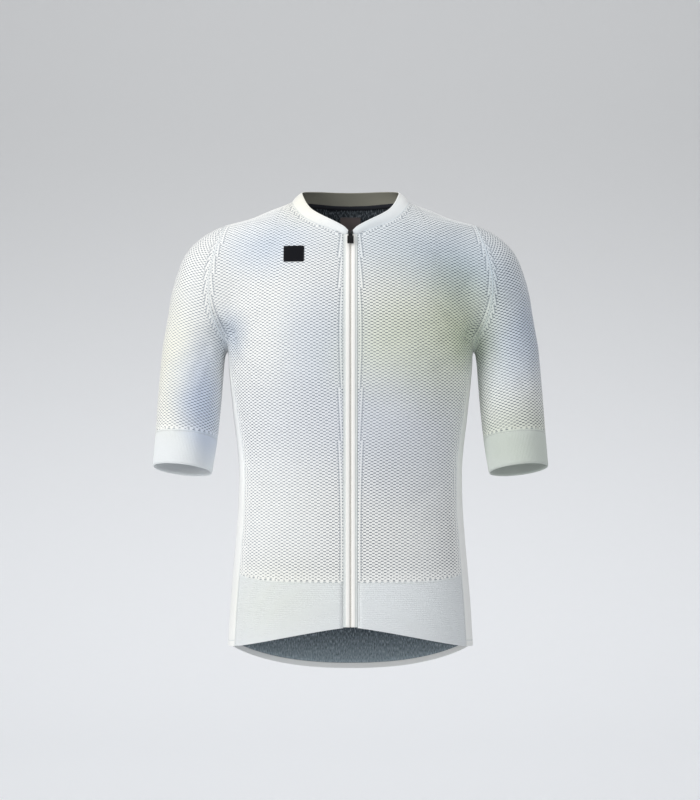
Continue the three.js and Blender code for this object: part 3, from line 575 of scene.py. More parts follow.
def ring_places(columns):
    """Places round a sleeve: from the underarm up the back to the shoulder, then down the front."""
    place = np.abs(np.linspace(RING_PLACES, -RING_PLACES, columns + 1))
    face = np.where(np.arange(columns + 1) < columns / 2, 1, -1)
    bunched = np.where(
        place <= ARMHOLE_PLACES,
        UNDERARM_ANGLE * place / ARMHOLE_PLACES,
        mix(UNDERARM_ANGLE, 180, (place - ARMHOLE_PLACES) / (RING_PLACES - ARMHOLE_PLACES)),
    )
    return bunched, 180 * place / RING_PLACES, face


def arm_ring(step, evenness, side, columns):
    """A ring of the arm tube, square to its centre line."""
    centre, radius = arm_at(step)
    along = unit(arm_at(step + 0.05)[0] - arm_at(step - 0.05)[0])
    front = unit(np.array([0, -1, 0]) + along * along[1])
    outward = unit(np.cross(front, along))
    outward = outward * np.sign(outward[0])
    bunched, even, face = ring_places(columns)
    angle = np.radians(mix(bunched, even, evenness))[:, None]
    ring = centre + outward * radius * np.cos(angle)
    ring = ring - front * face[:, None] * radius * ARM_DEPTH * np.sin(angle)
    return settle(ring * (side, 1, 1))


SLEEVE_COLUMNS = 64
CAP_ROWS = 18
TUBE_ROWS = 14


def sleeve_grid(side):
    """Rows from the cuff up to the armhole."""
    bunched, _, face = ring_places(SLEEVE_COLUMNS)
    cap = np.where((face == 1)[:, None], armhole(bunched, 1, side), armhole(bunched, -1, side))
    tube = arm_ring(ELBOW_SIDE_STEP, 0.5, side, SLEEVE_COLUMNS)
    down = unit(arm_at(ELBOW_SIDE_STEP + 0.3)[0] - arm_at(ELBOW_SIDE_STEP - 0.3)[0]) * (side, 1, 1)
    reach = np.linalg.norm(cap - tube, axis=1)[:, None]
    low, top = cap[0, 2], cap[SLEEVE_COLUMNS // 2, 2]
    high = ((cap[:, 2] - low) / (top - low))[:, None]
    out = unit(mix(unit(np.array([side, 0, -0.25])), unit(tube - cap), 1 - high))
    rows = []
    for t in fractions(CAP_ROWS)[:-1]:
        p = cap * (1 + 2 * t) * (1 - t) ** 2 + out * reach * t * (1 - t) ** 2
        rows.append(settle(p + tube * t * t * (3 - 2 * t) - down * reach * t * t * (1 - t)))
    rows[0] = cap
    for t in fractions(TUBE_ROWS):
        step = mix(ELBOW_SIDE_STEP, CUFF_SEAM_STEP, t)
        rows.append(arm_ring(step, mix(0.5, 1, t), side, SLEEVE_COLUMNS))
    return np.array(rows[::-1])


def cuff_grid(side):
    steps = mix(CUFF_END_STEP, CUFF_SEAM_STEP, fractions(BAND_ROWS))
    return np.array([arm_ring(step, 1, side, SLEEVE_COLUMNS) for step in steps])


def hem_back_grid():
    angle = lookup(SIDE_PANEL, "z", "front", SIDE_Z)
    count = 2 * (NECK_COLUMNS + SHOULDER_COLUMNS + UNDERARM_COLUMNS)
    return np.array([back_line(lift, angle, 360 - angle, count) for lift in HEM_FOLD * fractions(4)])


# Surfaces made from grids of points
def refining(count, factor):
    """Weights that put points on a smooth curve between each two of count points."""
    spots = np.arange((count - 1) * factor + 1) / factor
    i = np.minimum(spots.astype(int), count - 2)
    t = spots - i
    parts = {
        -1: (-t + 2 * t**2 - t**3) / 2,
        0: (2 - 5 * t**2 + 3 * t**3) / 2,
        1: (t + 4 * t**2 - 3 * t**3) / 2,
        2: (-(t**2) + t**3) / 2,
    }
    weights = np.zeros((len(spots), count))
    rows = np.arange(len(spots))
    for offset, part in parts.items():
        j = i + offset
        inside = (j >= 0) & (j < count)
        np.add.at(weights, (rows[inside], j[inside]), part[inside])
        for beyond, near, far in ((j < 0, 0, 1), (j >= count, count - 1, count - 2)):
            weights[rows[beyond], near] += 2 * part[beyond]
            weights[rows[beyond], far] -= part[beyond]
    return weights


def refine(grid, rows, columns):
    """The grid with rows and columns times as many spaces each way, on smooth curves."""
    by_row, by_column = refining(grid.shape[0], rows), refining(grid.shape[1], columns)
    return np.einsum("ij,jkc->ikc", by_row, np.einsum("jkc,lk->jlc", grid, by_column))


def grid_normals(points, outward):
    """Normals of a grid, on the side that outward points to."""
    along, up = np.gradient(points, axis=1), np.gradient(points, axis=0)
    normals = unit(np.cross(along, up))
    return normals * np.sign((normals * outward).sum(2).mean())


def folded(base):
    """The points of a settled grid with the jersey's folds, and the way out from each."""
    flat = base.reshape(-1, 3)
    outward = unit(gradient(flat))
    return (flat + outward * fold_height(flat)[:, None]).reshape(base.shape), outward.reshape(base.shape)


def flatten(grid):
    """The grid laid out flat, each of its triangles as little deformed as can be."""
    rows, columns = grid.shape[:2]
    points = grid.reshape(-1, 3)
    index = np.arange(rows * columns).reshape(rows, columns)
    a, b, c, d = [x.ravel() for x in (index[:-1, :-1], index[:-1, 1:], index[1:, 1:], index[1:, :-1])]
    corners = np.concatenate([np.stack(x, 1) for x in ((a, b, c), (a, c, d), (a, b, d), (b, c, d))])
    p, q, r = [points[corners[:, i]] for i in range(3)]
    along = unit(q - p)
    up = unit(np.cross(np.cross(q - p, r - p), along))
    zero = np.zeros(len(corners))
    local = np.stack([
        np.stack([zero, zero], 1),
        np.stack([((q - p) * along).sum(1), zero], 1),
        np.stack([((r - p) * along).sum(1), ((r - p) * up).sum(1)], 1),
    ], 1)
    laplacian = np.zeros((len(points), len(points)))
    edges = []
    for i in range(3):
        j, k = (i + 1) % 3, (i + 2) % 3
        v, w = local[:, j] - local[:, i], local[:, k] - local[:, i]
        weight = (v * w).sum(1) / np.maximum(np.abs(v[:, 0] * w[:, 1] - v[:, 1] * w[:, 0]), 1e-9)
        weight = np.clip(weight, 0.02, 20)
        start, end = corners[:, j], corners[:, k]
        np.add.at(laplacian, (start, start), weight)
        np.add.at(laplacian, (end, end), weight)
        np.add.at(laplacian, (start, end), -weight)
        np.add.at(laplacian, (end, start), -weight)
        edges.append((start, end, weight, local[:, j] - local[:, k]))
    laplacian[0, 0] += 1
    inverse = np.linalg.inv(laplacian)
    across = np.linalg.norm(np.diff(grid, axis=1), axis=2)
    upward = np.linalg.norm(np.diff(grid, axis=0), axis=2)
    x = np.concatenate([np.zeros((rows, 1)), np.cumsum(across, 1)], 1)
    y = np.concatenate([np.zeros((1, columns)), np.cumsum(upward, 0)], 0)
    flat = np.stack([x - x[:, columns // 2, None], y], 2).reshape(-1, 2)
    for _ in range(60):
        turned = sum(
            weight[:, None, None] * (flat[start] - flat[end])[:, :, None] * rest[:, None]
            for start, end, weight, rest in edges
        )
        angle = np.arctan2(turned[:, 1, 0] - turned[:, 0, 1], turned[:, 0, 0] + turned[:, 1, 1])
        cos, sin = np.cos(angle), np.sin(angle)
        pull = np.zeros_like(flat)
        for start, end, weight, rest in edges:
            way = np.stack([cos * rest[:, 0] - sin * rest[:, 1], sin * rest[:, 0] + cos * rest[:, 1]], 1)
            np.add.at(pull, start, weight[:, None] * way)
            np.add.at(pull, end, -weight[:, None] * way)
        flat = inverse @ pull
    return flat.reshape(rows, columns, 2)


def segment_distance(points, polygon):
    """Distance of each point from a closed polygon's sides."""
    start, run = polygon, np.roll(polygon, -1, 0) - polygon
    off = points[:, None] - start
    t = np.clip((off * run).sum(2) / np.maximum((run * run).sum(1), 1e-12), 0, 1)
    return np.linalg.norm(off - t[..., None] * run, axis=2).min(1)


def within(points, polygon):
    """Whether each point lies inside a closed polygon."""
    x, y = points[:, 0, None], points[:, 1, None]
    (x0, y0), (x1, y1) = polygon.T, np.roll(polygon, -1, 0).T
    across = (y0 > y) != (y1 > y)
    with np.errstate(divide="ignore", invalid="ignore"):
        met = x < x0 + (y - y0) * (x1 - x0) / (y1 - y0)
    return (across & met).sum(1) % 2 == 1


def inset(polygon, distance):
    """A counter-clockwise polygon drawn in by a distance, with mitred corners."""
    def normals(run):
        return unit(np.stack([-run[:, 1], run[:, 0]], 1))

    before = normals(polygon - np.roll(polygon, 1, 0))
    after = normals(np.roll(polygon, -1, 0) - polygon)
    both = before + after
    return polygon + distance * both / np.maximum(1 + (before * after).sum(1), 0.5)[:, None]


FINER = 4
GUESS_CELL = 4


# Where the zip's edge lies between two columns of the lattice
EDGE_PHASE = 2.7


class Panel:
    """A cut piece of cloth: its smooth surface on the jersey, and where each of its points lies in the flat cut."""

    def __init__(self, surface, outward, upright):
        flat = flatten(surface[::2, ::2])
        self.points = refine(surface, FINER, FINER)
        self.normals = grid_normals(self.points, refine(outward, FINER, FINER))
        hand = (np.cross(np.gradient(self.points, axis=1), np.gradient(self.points, axis=0)) * self.normals).sum()
        flat = self.turned(flat, upright // 2, np.sign(hand))
        self.flat = refine(flat, 2 * FINER, 2 * FINER)
        base_flat = self.flat[::FINER, ::FINER]
        rim = self.border(base_flat)
        room = segment_distance(base_flat.reshape(-1, 2), rim).reshape(base_flat.shape[:2])
        self.room = refine(room[..., None], 1, 1)[..., 0]
        self.limit = np.array(self.flat.shape[:2]) - 1
        self.low = self.flat.reshape(-1, 2).min(0)
        size = np.ceil((self.flat.reshape(-1, 2).max(0) - self.low) / GUESS_CELL).astype(int) + 1
        self.guess = np.full((*size, 2), -1.0)
        cells = ((self.flat - self.low) / GUESS_CELL).astype(int)
        places = np.stack(np.meshgrid(*[np.arange(n) for n in self.flat.shape[:2]], indexing="ij"), 2)
        self.guess[cells[..., 0], cells[..., 1]] = places
        self.outline = self.border(self.flat[::2, ::2])

    def turned(self, flat, upright, hand):
        """The flat cut with one of its columns upright and its outer face up."""
        flat = flat - flat[0, upright]
        angle = math.atan2(*(flat[-1, upright] - flat[0, upright]))
        turn = np.array([[math.cos(angle), math.sin(angle)], [-math.sin(angle), math.cos(angle)]])
        flat = flat @ turn * (hand, 1)
        return flat + (EDGE_PHASE * np.sign(flat[..., 0].mean()), 0)

    def border(self, grid):
        """The grid's border, counter-clockwise."""
        line = np.concatenate([grid[0, :-1], grid[:-1, -1], grid[-1, :0:-1], grid[:0:-1, 0]])
        x, y = line.T
        area = (x * np.roll(y, -1) - np.roll(x, -1) * y).sum() / 2
        self.area = abs(area)
        return line if area > 0 else line[::-1]

    def at(self, array, place):
        """An array's values at places in the grid, between its points, with their slopes each way."""
        i = np.minimum(place.astype(int), np.array(array.shape[:2]) - 2)
        t, s = (place - i).T[..., None]
        row, column = i.T
        a, b = array[row, column], array[row, column + 1]
        c, d = array[row + 1, column], array[row + 1, column + 1]
        down, up = mix(a, b, s), mix(c, d, s)
        return mix(down, up, t), up - down, mix(b - a, d - c, t)

    def find(self, flat):
        """Places in the grid of points in the flat cut, and whether each is on the cloth."""
        cell = np.floor((flat - self.low) / GUESS_CELL).astype(int)
        edge = np.array(self.guess.shape[:2]) - 1
        place = self.guess[tuple(np.clip(cell, 0, edge).T)]
        known = ((cell >= 0) & (cell <= edge)).all(1) & (place[:, 0] >= 0)
        place = np.maximum(place, 0)
        for _ in range(7):
            value, by_row, by_column = self.at(self.flat, place)
            miss = flat - value
            size = by_row[:, 0] * by_column[:, 1] - by_row[:, 1] * by_column[:, 0]
            size = np.where(np.abs(size) < 1e-6, 1e-6, size)
            row = (miss[:, 0] * by_column[:, 1] - miss[:, 1] * by_column[:, 0]) / size
            column = (by_row[:, 0] * miss[:, 1] - by_row[:, 1] * miss[:, 0]) / size
            place = np.clip(place + np.clip(np.stack([row, column], 1), -4, 4), 0, self.limit)
        miss = np.linalg.norm(flat - self.at(self.flat, place)[0], axis=1)
        return place, known & (miss < 0.2)

    def margin(self, place):
        """How far places are from the border, in the flat cut."""
        return self.at(self.room[..., None], place / FINER)[0][:, 0]

    def lift(self, place, height):
        """Points over or under the cloth's surface at places in the grid."""
        point, normal = self.at(self.points, place)[0], self.at(self.normals, place)[0]
        return point + unit(normal) * np.reshape(height, (-1, 1))

    def size(self):
        """Width and length of the flat cut, in metres."""
        low, high = self.outline.min(0), self.outline.max(0)
        return tuple(float(x) * MM for x in high - low)


# Meshes
def make_mesh(name, points, faces, materials, uv=None, sharp=None):
    """A mesh object from points in millimetres and groups of faces, each with its material's number."""
    mesh = bpy.data.meshes.new(name)
    mesh.vertices.add(len(points))
    mesh.vertices.foreach_set("co", (np.asarray(points) * MM).astype(np.float32).ravel())
    corners = np.concatenate([np.asarray(group).ravel() for group, _ in faces])
    sizes = np.concatenate([np.full(len(group), np.shape(group)[1]) for group, _ in faces])
    numbers = np.concatenate([np.full(len(group), number) for group, number in faces])
    mesh.loops.add(len(corners))
    mesh.loops.foreach_set("vertex_index", corners.astype(np.int32))
    mesh.polygons.add(len(sizes))
    mesh.polygons.foreach_set("loop_start", np.concatenate([[0], np.cumsum(sizes)[:-1]]).astype(np.int32))
    mesh.polygons.foreach_set("material_index", numbers.astype(np.int32))
    mesh.update(calc_edges=True)
    mesh.polygons.foreach_set("use_smooth", np.ones(len(sizes), bool))
    for material in materials:
        mesh.materials.append(material)
    if uv is not None:
        layer = mesh.uv_layers.new(name="cut")
        layer.data.foreach_set("uv", (np.asarray(uv)[corners] * MM).astype(np.float32).ravel())
    if sharp is not None:
        edges = np.zeros(2 * len(mesh.edges), np.int32)
        mesh.edges.foreach_get("vertices", edges)
        edges = edges.reshape(-1, 2)
        marks = sharp[edges[:, 0]] & sharp[edges[:, 1]]
        attribute = mesh.attributes.new("sharp_edge", "BOOLEAN", "EDGE")
        attribute.data.foreach_set("value", marks)
    made = bpy.data.objects.new(name, mesh)
    bpy.context.scene.collection.objects.link(made)
    return made


def triangulate(points, edges):
    """Triangles between points, keeping some edges, and the points that crossings of those edges add."""
    result = delaunay_2d_cdt([Vector(p) for p in points.tolist()], edges.tolist(), [], 0, 1e-5)
    made = np.array([tuple(v) for v in result[0]])
    number = np.array([source[0] if source else -1 for source in result[3]])
    added = np.nonzero(number < 0)[0]
    number[added] = len(points) + np.arange(len(added))
    return number[np.array([f for f in result[2] if len(f) == 3])], made[added]


def loop_edges(first, count):
    i = np.arange(count)
    return np.stack([first + i, first + (i + 1) % count], 1)


# Open knit: rows of flat six-sided holes, each row half a hole's pitch beside the last
KNIT_PITCH = 8.3
KNIT_ROW = 2.25
KNIT_MARGIN = 0.9
NEAR_BORDER = 14
HOLE_HALF = 1.95
HOLE_RISE = 0.63
HOLE_DEPTH = 0.62
YARN_RISE = 0.16
RIM_SINK = 0.16
EDGE_SINK = 0.32
EDGE_ROLL = 0.9
EDGE_GAP = 0.1
FILL_PITCH = 8.5
INNER_PITCH = 4.4
# Corners of a cell are numbered 0 to 5, its hole's rim 6 to 9 and its floor 10
RIM = np.array([(-HOLE_HALF, -HOLE_RISE), (HOLE_HALF, -HOLE_RISE), (HOLE_HALF, HOLE_RISE), (-HOLE_HALF, HOLE_RISE)])
FLOOR = np.array([(0, 0)])
RING_FACES = np.array([
    (0, 1, 6), (1, 7, 6), (1, 2, 7), (2, 3, 8), (2, 8, 7),
    (3, 4, 8), (4, 9, 8), (4, 5, 9), (5, 0, 6), (5, 6, 9),
])
PIT_FACES = np.array([(6, 7, 10), (7, 8, 10), (8, 9, 10), (9, 6, 10)])


def knit_cells(panel, bare):
    """The lattice's points in the flat cut, and each cell that fits on the cloth as six of them."""
    high = panel.flat.reshape(-1, 2).max(0)
    h0, j0 = np.floor(panel.low / (KNIT_PITCH / 2, KNIT_ROW)).astype(int) - 1
    h1, j1 = np.ceil(high / (KNIT_PITCH / 2, KNIT_ROW)).astype(int) + 1
    h, j = np.meshgrid(np.arange(h0, h1), np.arange(j0, j1), indexing="ij")
    lattice = np.stack([h * KNIT_PITCH / 2, j * KNIT_ROW], 2)
    place, on = panel.find(lattice.reshape(-1, 2))
    margin = panel.margin(place)
    near = on & (margin < NEAR_BORDER)
    margin[near] = segment_distance(lattice.reshape(-1, 2)[near], panel.outline)
    free = on & (margin > KNIT_MARGIN)
    if bare is not None:
        free &= ~bare(panel.lift(place, 0))
    free = free.reshape(h.shape)
    pair = free[:, :-1] & free[:, 1:]
    whole = pair[:-2] & pair[1:-1] & pair[2:]
    whole &= (h[1:-1, :-1] + j[1:-1, :-1]) % 2 == 0
    left, low = np.nonzero(whole)
    number = np.arange(h.size).reshape(h.shape)
    ways = ((0, 0), (1, 0), (2, 0), (2, 1), (1, 1), (0, 1))
    cells = np.stack([number[left + a, low + b] for a, b in ways], 1)
    kept = np.zeros((h.shape[0] - 1, h.shape[1] - 1), bool)
    kept[left, low] = kept[left + 1, low] = True
    spare = ~np.isin(number.ravel(), cells) & on & (margin > FILL_PITCH / 2)
    spare &= ((h % 2 == 0) & (j % 4 == 0)).ravel()
    return lattice.reshape(-1, 2), cells, spare, (kept, h0, j0)


def in_cell(points, kept, h0, j0):
    """Whether points of the flat cut lie in a kept cell."""
    i = np.clip(np.floor(points[:, 0] / (KNIT_PITCH / 2)).astype(int) - h0, 0, kept.shape[0] - 1)
    k = np.clip(np.floor(points[:, 1] / KNIT_ROW).astype(int) - j0, 0, kept.shape[1] - 1)
    return kept[i, k]


def whole_holes(place):
    return np.ones(len(place))


def knit(name, panel, materials, thickness=1.5, bare=None, fade=whole_holes):
    """A panel of open knit: its holes, the plain cloth along its border, and its reverse."""
    lattice, cells, spare, kept = knit_cells(panel, bare)
    used, corners = np.unique(cells, return_inverse=True)
    outline = inset(panel.outline, EDGE_GAP)
    rolled = inset(panel.outline, EDGE_ROLL)
    rolled = rolled[segment_distance(rolled, outline) > 0.8 * (EDGE_ROLL - EDGE_GAP)]
    base = len(outline) + len(rolled) + spare.sum()
    corners = corners.reshape(-1, 6) + base
    centre = lattice[cells].mean(1)
    size = fade(panel.find(centre)[0] / panel.limit)[:, None, None]
    hole = np.concatenate([RIM, FLOOR])
    first = base + len(used)
    cell = np.concatenate([corners, first + np.arange(len(cells) * len(hole)).reshape(-1, len(hole))], 1)
    flat = np.concatenate([outline, rolled, lattice[spare], lattice[used],
                           (centre[:, None] + hole * size).reshape(-1, 2)])
    sunk = np.where(np.arange(len(hole)) < len(RIM), -RIM_SINK, -HOLE_DEPTH)
    height = np.concatenate([np.full(len(outline), -EDGE_SINK), np.zeros(base - len(outline)),
                             np.full(len(used), YARN_RISE), np.tile(sunk, len(cells))])
    sides = np.concatenate([corners[:, [i, (i + 1) % 6]] for i in range(6)])
    sides, uses = np.unique(np.sort(sides, 1), axis=0, return_counts=True)
    edges = np.concatenate([loop_edges(0, len(outline)), sides[uses == 1]])
    border_points = np.concatenate([np.arange(base), np.unique(sides[uses == 1])])
    lookup_number = np.full(len(flat), -1)
    lookup_number[border_points] = np.arange(len(border_points))
    border, crossings = triangulate(flat[border_points], lookup_number[edges])
    border_points = np.concatenate([border_points, len(flat) + np.arange(len(crossings))])
    flat = np.concatenate([flat, crossings.reshape(-1, 2)])
    height = np.concatenate([height, np.full(len(crossings), -EDGE_SINK)])
    border = border_points[border]
    middle = flat[border].mean(1)
    inside = within(middle, outline) & ~in_cell(middle, *kept)
    border = border[inside]
    plain = np.zeros(len(border), bool) if bare is None else bare(panel.lift(panel.find(middle[inside])[0], 0))
    low, high = outline.min(0), outline.max(0)
    fill = np.stack(np.meshgrid(*[np.arange(a, b, INNER_PITCH) for a, b in zip(low, high)]), 2).reshape(-1, 2)
    fill = fill[within(fill, outline)]
    fill = fill[segment_distance(fill, outline) > INNER_PITCH / 2]
    inner_flat = np.concatenate([outline, fill])
    inner, crossings = triangulate(inner_flat, loop_edges(0, len(outline)))
    inner_flat = np.concatenate([inner_flat, crossings.reshape(-1, 2)])
    inner = inner[within(inner_flat[inner].mean(1), outline)]
    place = panel.find(np.concatenate([flat, inner_flat]))[0]
    height = np.concatenate([height, np.full(len(inner_flat), -float(thickness))])
    points = panel.lift(place, height)
    start = len(flat)
    ring = loop_edges(0, len(outline))
    strip = np.stack([ring[:, 1], ring[:, 0], ring[:, 0] + start, ring[:, 1] + start], 1)
    groups = [
        (cell[:, RING_FACES].reshape(-1, 3), 0),
        (cell[:, PIT_FACES].reshape(-1, 3), 1),
        (border[plain], 0),
        (border[~plain], 3),
        (strip, 0),
        (inner[:, ::-1] + start, 2),
    ]
    marks = np.zeros(len(points), bool)
    marks[first : first + len(cells) * len(hole)] = np.tile(sunk == -RIM_SINK, len(cells))
    return make_mesh(name, points, groups, materials, np.concatenate([flat, inner_flat]), marks)


def shell_faces(rows, columns):
    """Faces of a closed sheet: its outer grid, its inner grid and the four strips between them."""
    index = np.arange(rows * columns).reshape(rows, columns)
    outer = np.stack([index[:-1, :-1], index[:-1, 1:], index[1:, 1:], index[1:, :-1]], 2).reshape(-1, 4)
    line = np.concatenate([index[0, :-1], index[:-1, -1], index[-1, :0:-1], index[:0:-1, 0]])
    after = np.roll(line, -1)
    step = rows * columns
    strip = np.stack([after, line, line + step, after + step], 1)
    return outer, strip, outer[:, ::-1] + step


def shell(name, points, normals, materials, outside, inside, uv=None):
    """A closed sheet from a grid, from an inside height to an outside one at each point."""
    rows, columns = points.shape[:2]
    outer = points + normals * np.broadcast_to(outside, (rows, columns))[..., None]
    inner = points + normals * np.broadcast_to(inside, (rows, columns))[..., None]
    faces = shell_faces(rows, columns)
    hand = (np.cross(np.gradient(points, axis=1), np.gradient(points, axis=0)) * normals).sum()
    if hand < 0:
        faces = [group[:, ::-1] for group in faces]
    if uv is None:
        across = np.linalg.norm(np.diff(points, axis=1), axis=2)
        upward = np.linalg.norm(np.diff(points, axis=0), axis=2)
        u = np.concatenate([np.zeros((rows, 1)), np.cumsum(across, 1)], 1)
        v = np.concatenate([np.zeros((1, columns)), np.cumsum(upward, 0)], 0)
        uv = np.stack([u, v], 2)
    groups = [(faces[0], 0), (faces[1], 0), (faces[2], len(materials) - 1)]
    both = np.concatenate([outer.reshape(-1, 3), inner.reshape(-1, 3)])
    flat = np.concatenate([uv.reshape(-1, 2)] * 2)
    return make_mesh(name, both, groups, materials, flat)


class Parts:
    """Closed shapes that are gathered into one piece."""

    def __init__(self):
        self.points, self.faces, self.count = [], [], 0

    def add(self, points, groups, number=0):
        """Takes a shape's points and groups of faces, turned so that they face outwards."""
        points = np.asarray(points, float).reshape(-1, 3)
        middle = points.mean(0)
        volume = 0
        for group in groups:
            p = points[group] - middle
            for i in range(2, group.shape[1]):
                volume += (np.cross(p[:, i - 1], p[:, i]) * p[:, 0]).sum()
        for group in groups:
            turned = group if volume > 0 else group[:, ::-1]
            self.faces.append((turned + self.count, number))
        self.points.append(points)
        self.count += len(points)

    def make(self, name, materials):
        return make_mesh(name, np.concatenate(self.points), self.faces, materials)


def on_body(line):
    """A line of the settled surface, raised by the jersey's folds, with the way out at each point."""
    return folded(settle(line))


def evenly(point, outward, pitch, closed=False):
    """A line with its points evenly spaced, and the ways out, along it and across it."""
    if closed:
        point, outward = [np.concatenate([v, v[:1]]) for v in (point, outward)]
    run = np.concatenate([[0], np.cumsum(np.linalg.norm(np.diff(point, axis=0), axis=1))])
    count = max(int(round(run[-1] / pitch)), 2)
    spots = fractions(count) * run[-1]
    if closed:
        spots = spots[:-1]
    point, outward = [np.stack([np.interp(spots, run, v[:, i]) for i in range(3)], 1) for v in (point, outward)]
    along = np.roll(point, -1, 0) - np.roll(point, 1, 0)
    if not closed:
        along[0], along[-1] = point[1] - point[0], point[-1] - point[-2]
    outward = unit(outward)
    along = unit(along)
    return point, outward, along, unit(np.cross(along, outward))


def sweep(parts, point, outward, across, profile, number=0, closed=False):
    """A bar along a line; its profile's corners are places across the line and outwards from it."""
    profile = np.broadcast_to(profile, (len(point), *np.shape(profile)[-2:]))
    corners = point[:, None] + across[:, None] * profile[..., :1] + outward[:, None] * profile[..., 1:]
    count, sides = profile.shape[:2]
    index = np.arange(count * sides).reshape(count, sides)
    ahead = np.roll(index, -1, 0)
    if not closed:
        index, ahead = index[:-1], ahead[:-1]
    quads = np.stack([index, np.roll(index, -1, 1), np.roll(ahead, -1, 1), ahead], 2).reshape(-1, 4)
    groups = [quads]
    if not closed:
        groups += [index[:1, ::-1], ahead[-1:]]
    parts.add(corners, groups, number)


DOME = np.array([(math.cos(a), math.sin(a)) for a in np.linspace(0, math.pi, 7)])
STITCH_ROWS = np.array([(-1, 0.35, 0.1), (-0.55, 1, 1), (0.55, 1, 1), (1, 0.35, 0.1)])


def ridge(parts, line, half, height, number=0, closed=False, under=0.35, pitch=3.5):
    """A low domed strip over a seam."""
    point, outward, _, across = evenly(*line, pitch, closed)
    dome = DOME * (half, height)
    profile = np.concatenate([dome, [(-0.9 * half, -under), (0.9 * half, -under)]])
    sweep(parts, point, outward, across, profile, number, closed)


def stitches(parts, line, offset, number=1, closed=False, lift=0.0, pitch=2.7, length=1.9, width=0.5):
    """A row of stitches beside a line."""
    point, outward, along, across = evenly(*line, pitch, closed)
    middle = point + across * offset + outward * lift
    t, wide, high = STITCH_ROWS.T
    s = np.array([-1, 0, 1])
    grid = middle[:, None, None] + along[:, None, None] * (t * length / 2)[:, None, None]
    grid = grid + across[:, None, None] * (np.outer(wide, s) * width / 2)[..., None]
    rise = np.where(s == 0, high[:, None] * 0.34, -0.12)
    grid = grid + outward[:, None, None] * rise[..., None]
    step = np.arange(len(middle))[:, None, None] * 12
    index = np.arange(12).reshape(4, 3)
    quads = np.stack([index[:-1, :-1], index[:-1, 1:], index[1:, 1:], index[1:, :-1]], 2).reshape(-1, 4)
    hand = (np.cross(grid[:, 0, 1] - grid[:, 0, 0], grid[:, 1, 0] - grid[:, 0, 0]) * outward).sum()
    quads = quads if hand > 0 else quads[:, ::-1]
    parts.faces.append(((quads[None] + step + parts.count).reshape(-1, 4), number))
    parts.points.append(grid.reshape(-1, 3))
    parts.count += grid.size // 3


def block(size, radius):
    """A box with rounded edges, round its own middle."""
    half = np.array(size) / 2
    radius = min(radius, *half)
    marks = []
    for h in half:
        edge = h - radius * np.array([0, 0.3, 0.65, 1])
        marks.append(np.unique(np.concatenate([-edge, edge, np.linspace(-h + radius, h - radius, 5)]).round(6)))
    points, faces, count = [], [], 0
    for axis in range(3):
        a, b = [i for i in range(3) if i != axis]
        for sign in (-1, 1):
            u, v = np.meshgrid(marks[a], marks[b], indexing="ij")
            p = np.zeros((*u.shape, 3))
            p[..., a], p[..., b], p[..., axis] = u, v, sign * half[axis]
            index = np.arange(u.size).reshape(u.shape) + count
            quads = np.stack([index[:-1, :-1], index[:-1, 1:], index[1:, 1:], index[1:, :-1]], 2).reshape(-1, 4)
            faces.append(quads if (sign > 0) == (axis == 1) else quads[:, ::-1])
            points.append(p.reshape(-1, 3))
            count += u.size
    points = np.concatenate(points)
    core = np.clip(points, radius - half, half - radius)
    points = core + radius * unit(points - core)
    points, number = np.unique(points.round(5), axis=0, return_inverse=True)
    quads = number.reshape(-1)[np.concatenate(faces)]
    return points, [quads]


def rod(radius, length, sides=20):
    """A round bar along x with softened ends, round its own middle."""
    turn = np.linspace(0, 2 * math.pi, sides, endpoint=False)
    ends = ((-0.5, 0.7), (-0.47, 0.95), (-0.44, 1), (0.44, 1), (0.47, 0.95), (0.5, 0.7))
    rings = [[(x * length, r * radius * math.cos(a), r * radius * math.sin(a)) for a in turn] for x, r in ends]
    index = np.arange(len(ends) * sides).reshape(len(ends), sides)
    around = np.roll(index, -1, 1)
    quads = np.stack([index[:-1], around[:-1], around[1:], index[1:]], 2).reshape(-1, 4)
    return np.array(rings).reshape(-1, 3), [quads, index[:1, ::-1], index[-1:]]


# Materials
def srgb(red, green, blue):
    """A colour of the render, 0 to 255, as the shader's linear one."""
    values = np.array([red, green, blue]) / 255
    linear = np.where(values <= 0.04045, values / 12.92, ((values + 0.055) / 1.055) ** 2.4)
    return (*[float(x) for x in linear], 1.0)


class Nodes:
    """A material with its nodes, added and joined by short calls."""

    def __init__(self, name, **sockets):
        self.material = bpy.data.materials.new(name)
        self.material.use_nodes = True
        self.tree = self.material.node_tree
        self.shader = self.tree.nodes["Principled BSDF"]
        for socket, value in sockets.items():
            self.shader.inputs[socket.replace("_", " ")].default_value = value

    def add(self, kind, settings=(), **inputs):
        node = self.tree.nodes.new("ShaderNode" + kind)
        for name, value in dict(settings).items():
            setattr(node, name, value)
        for name, value in inputs.items():
            socket = node.inputs[int(name[1:])] if name[0] == "_" else node.inputs[name.replace("_", " ")]
            if isinstance(value, bpy.types.NodeSocket):
                self.tree.links.new(value, socket)
            else:
                socket.default_value = value
        return node

    def join(self, output, socket):
        self.tree.links.new(output, self.shader.inputs[socket])

    def blend(self, factor, first, second, kind="MIX"):
        node = self.add("Mix", {"data_type": "RGBA", "blend_type": kind}, _0=factor, _6=first, _7=second)
        return node.outputs[2]

    def math(self, operation, first, second=0.0, clamp=False):
        node = self.add("Math", {"operation": operation, "use_clamp": clamp}, _0=first, _1=second)
        return node.outputs[0]

    def bump(self, height, distance, strength=1.0):
        node = self.add("Bump", Height=height, Distance=distance, Strength=strength)
        self.join(node.outputs[0], "Normal")


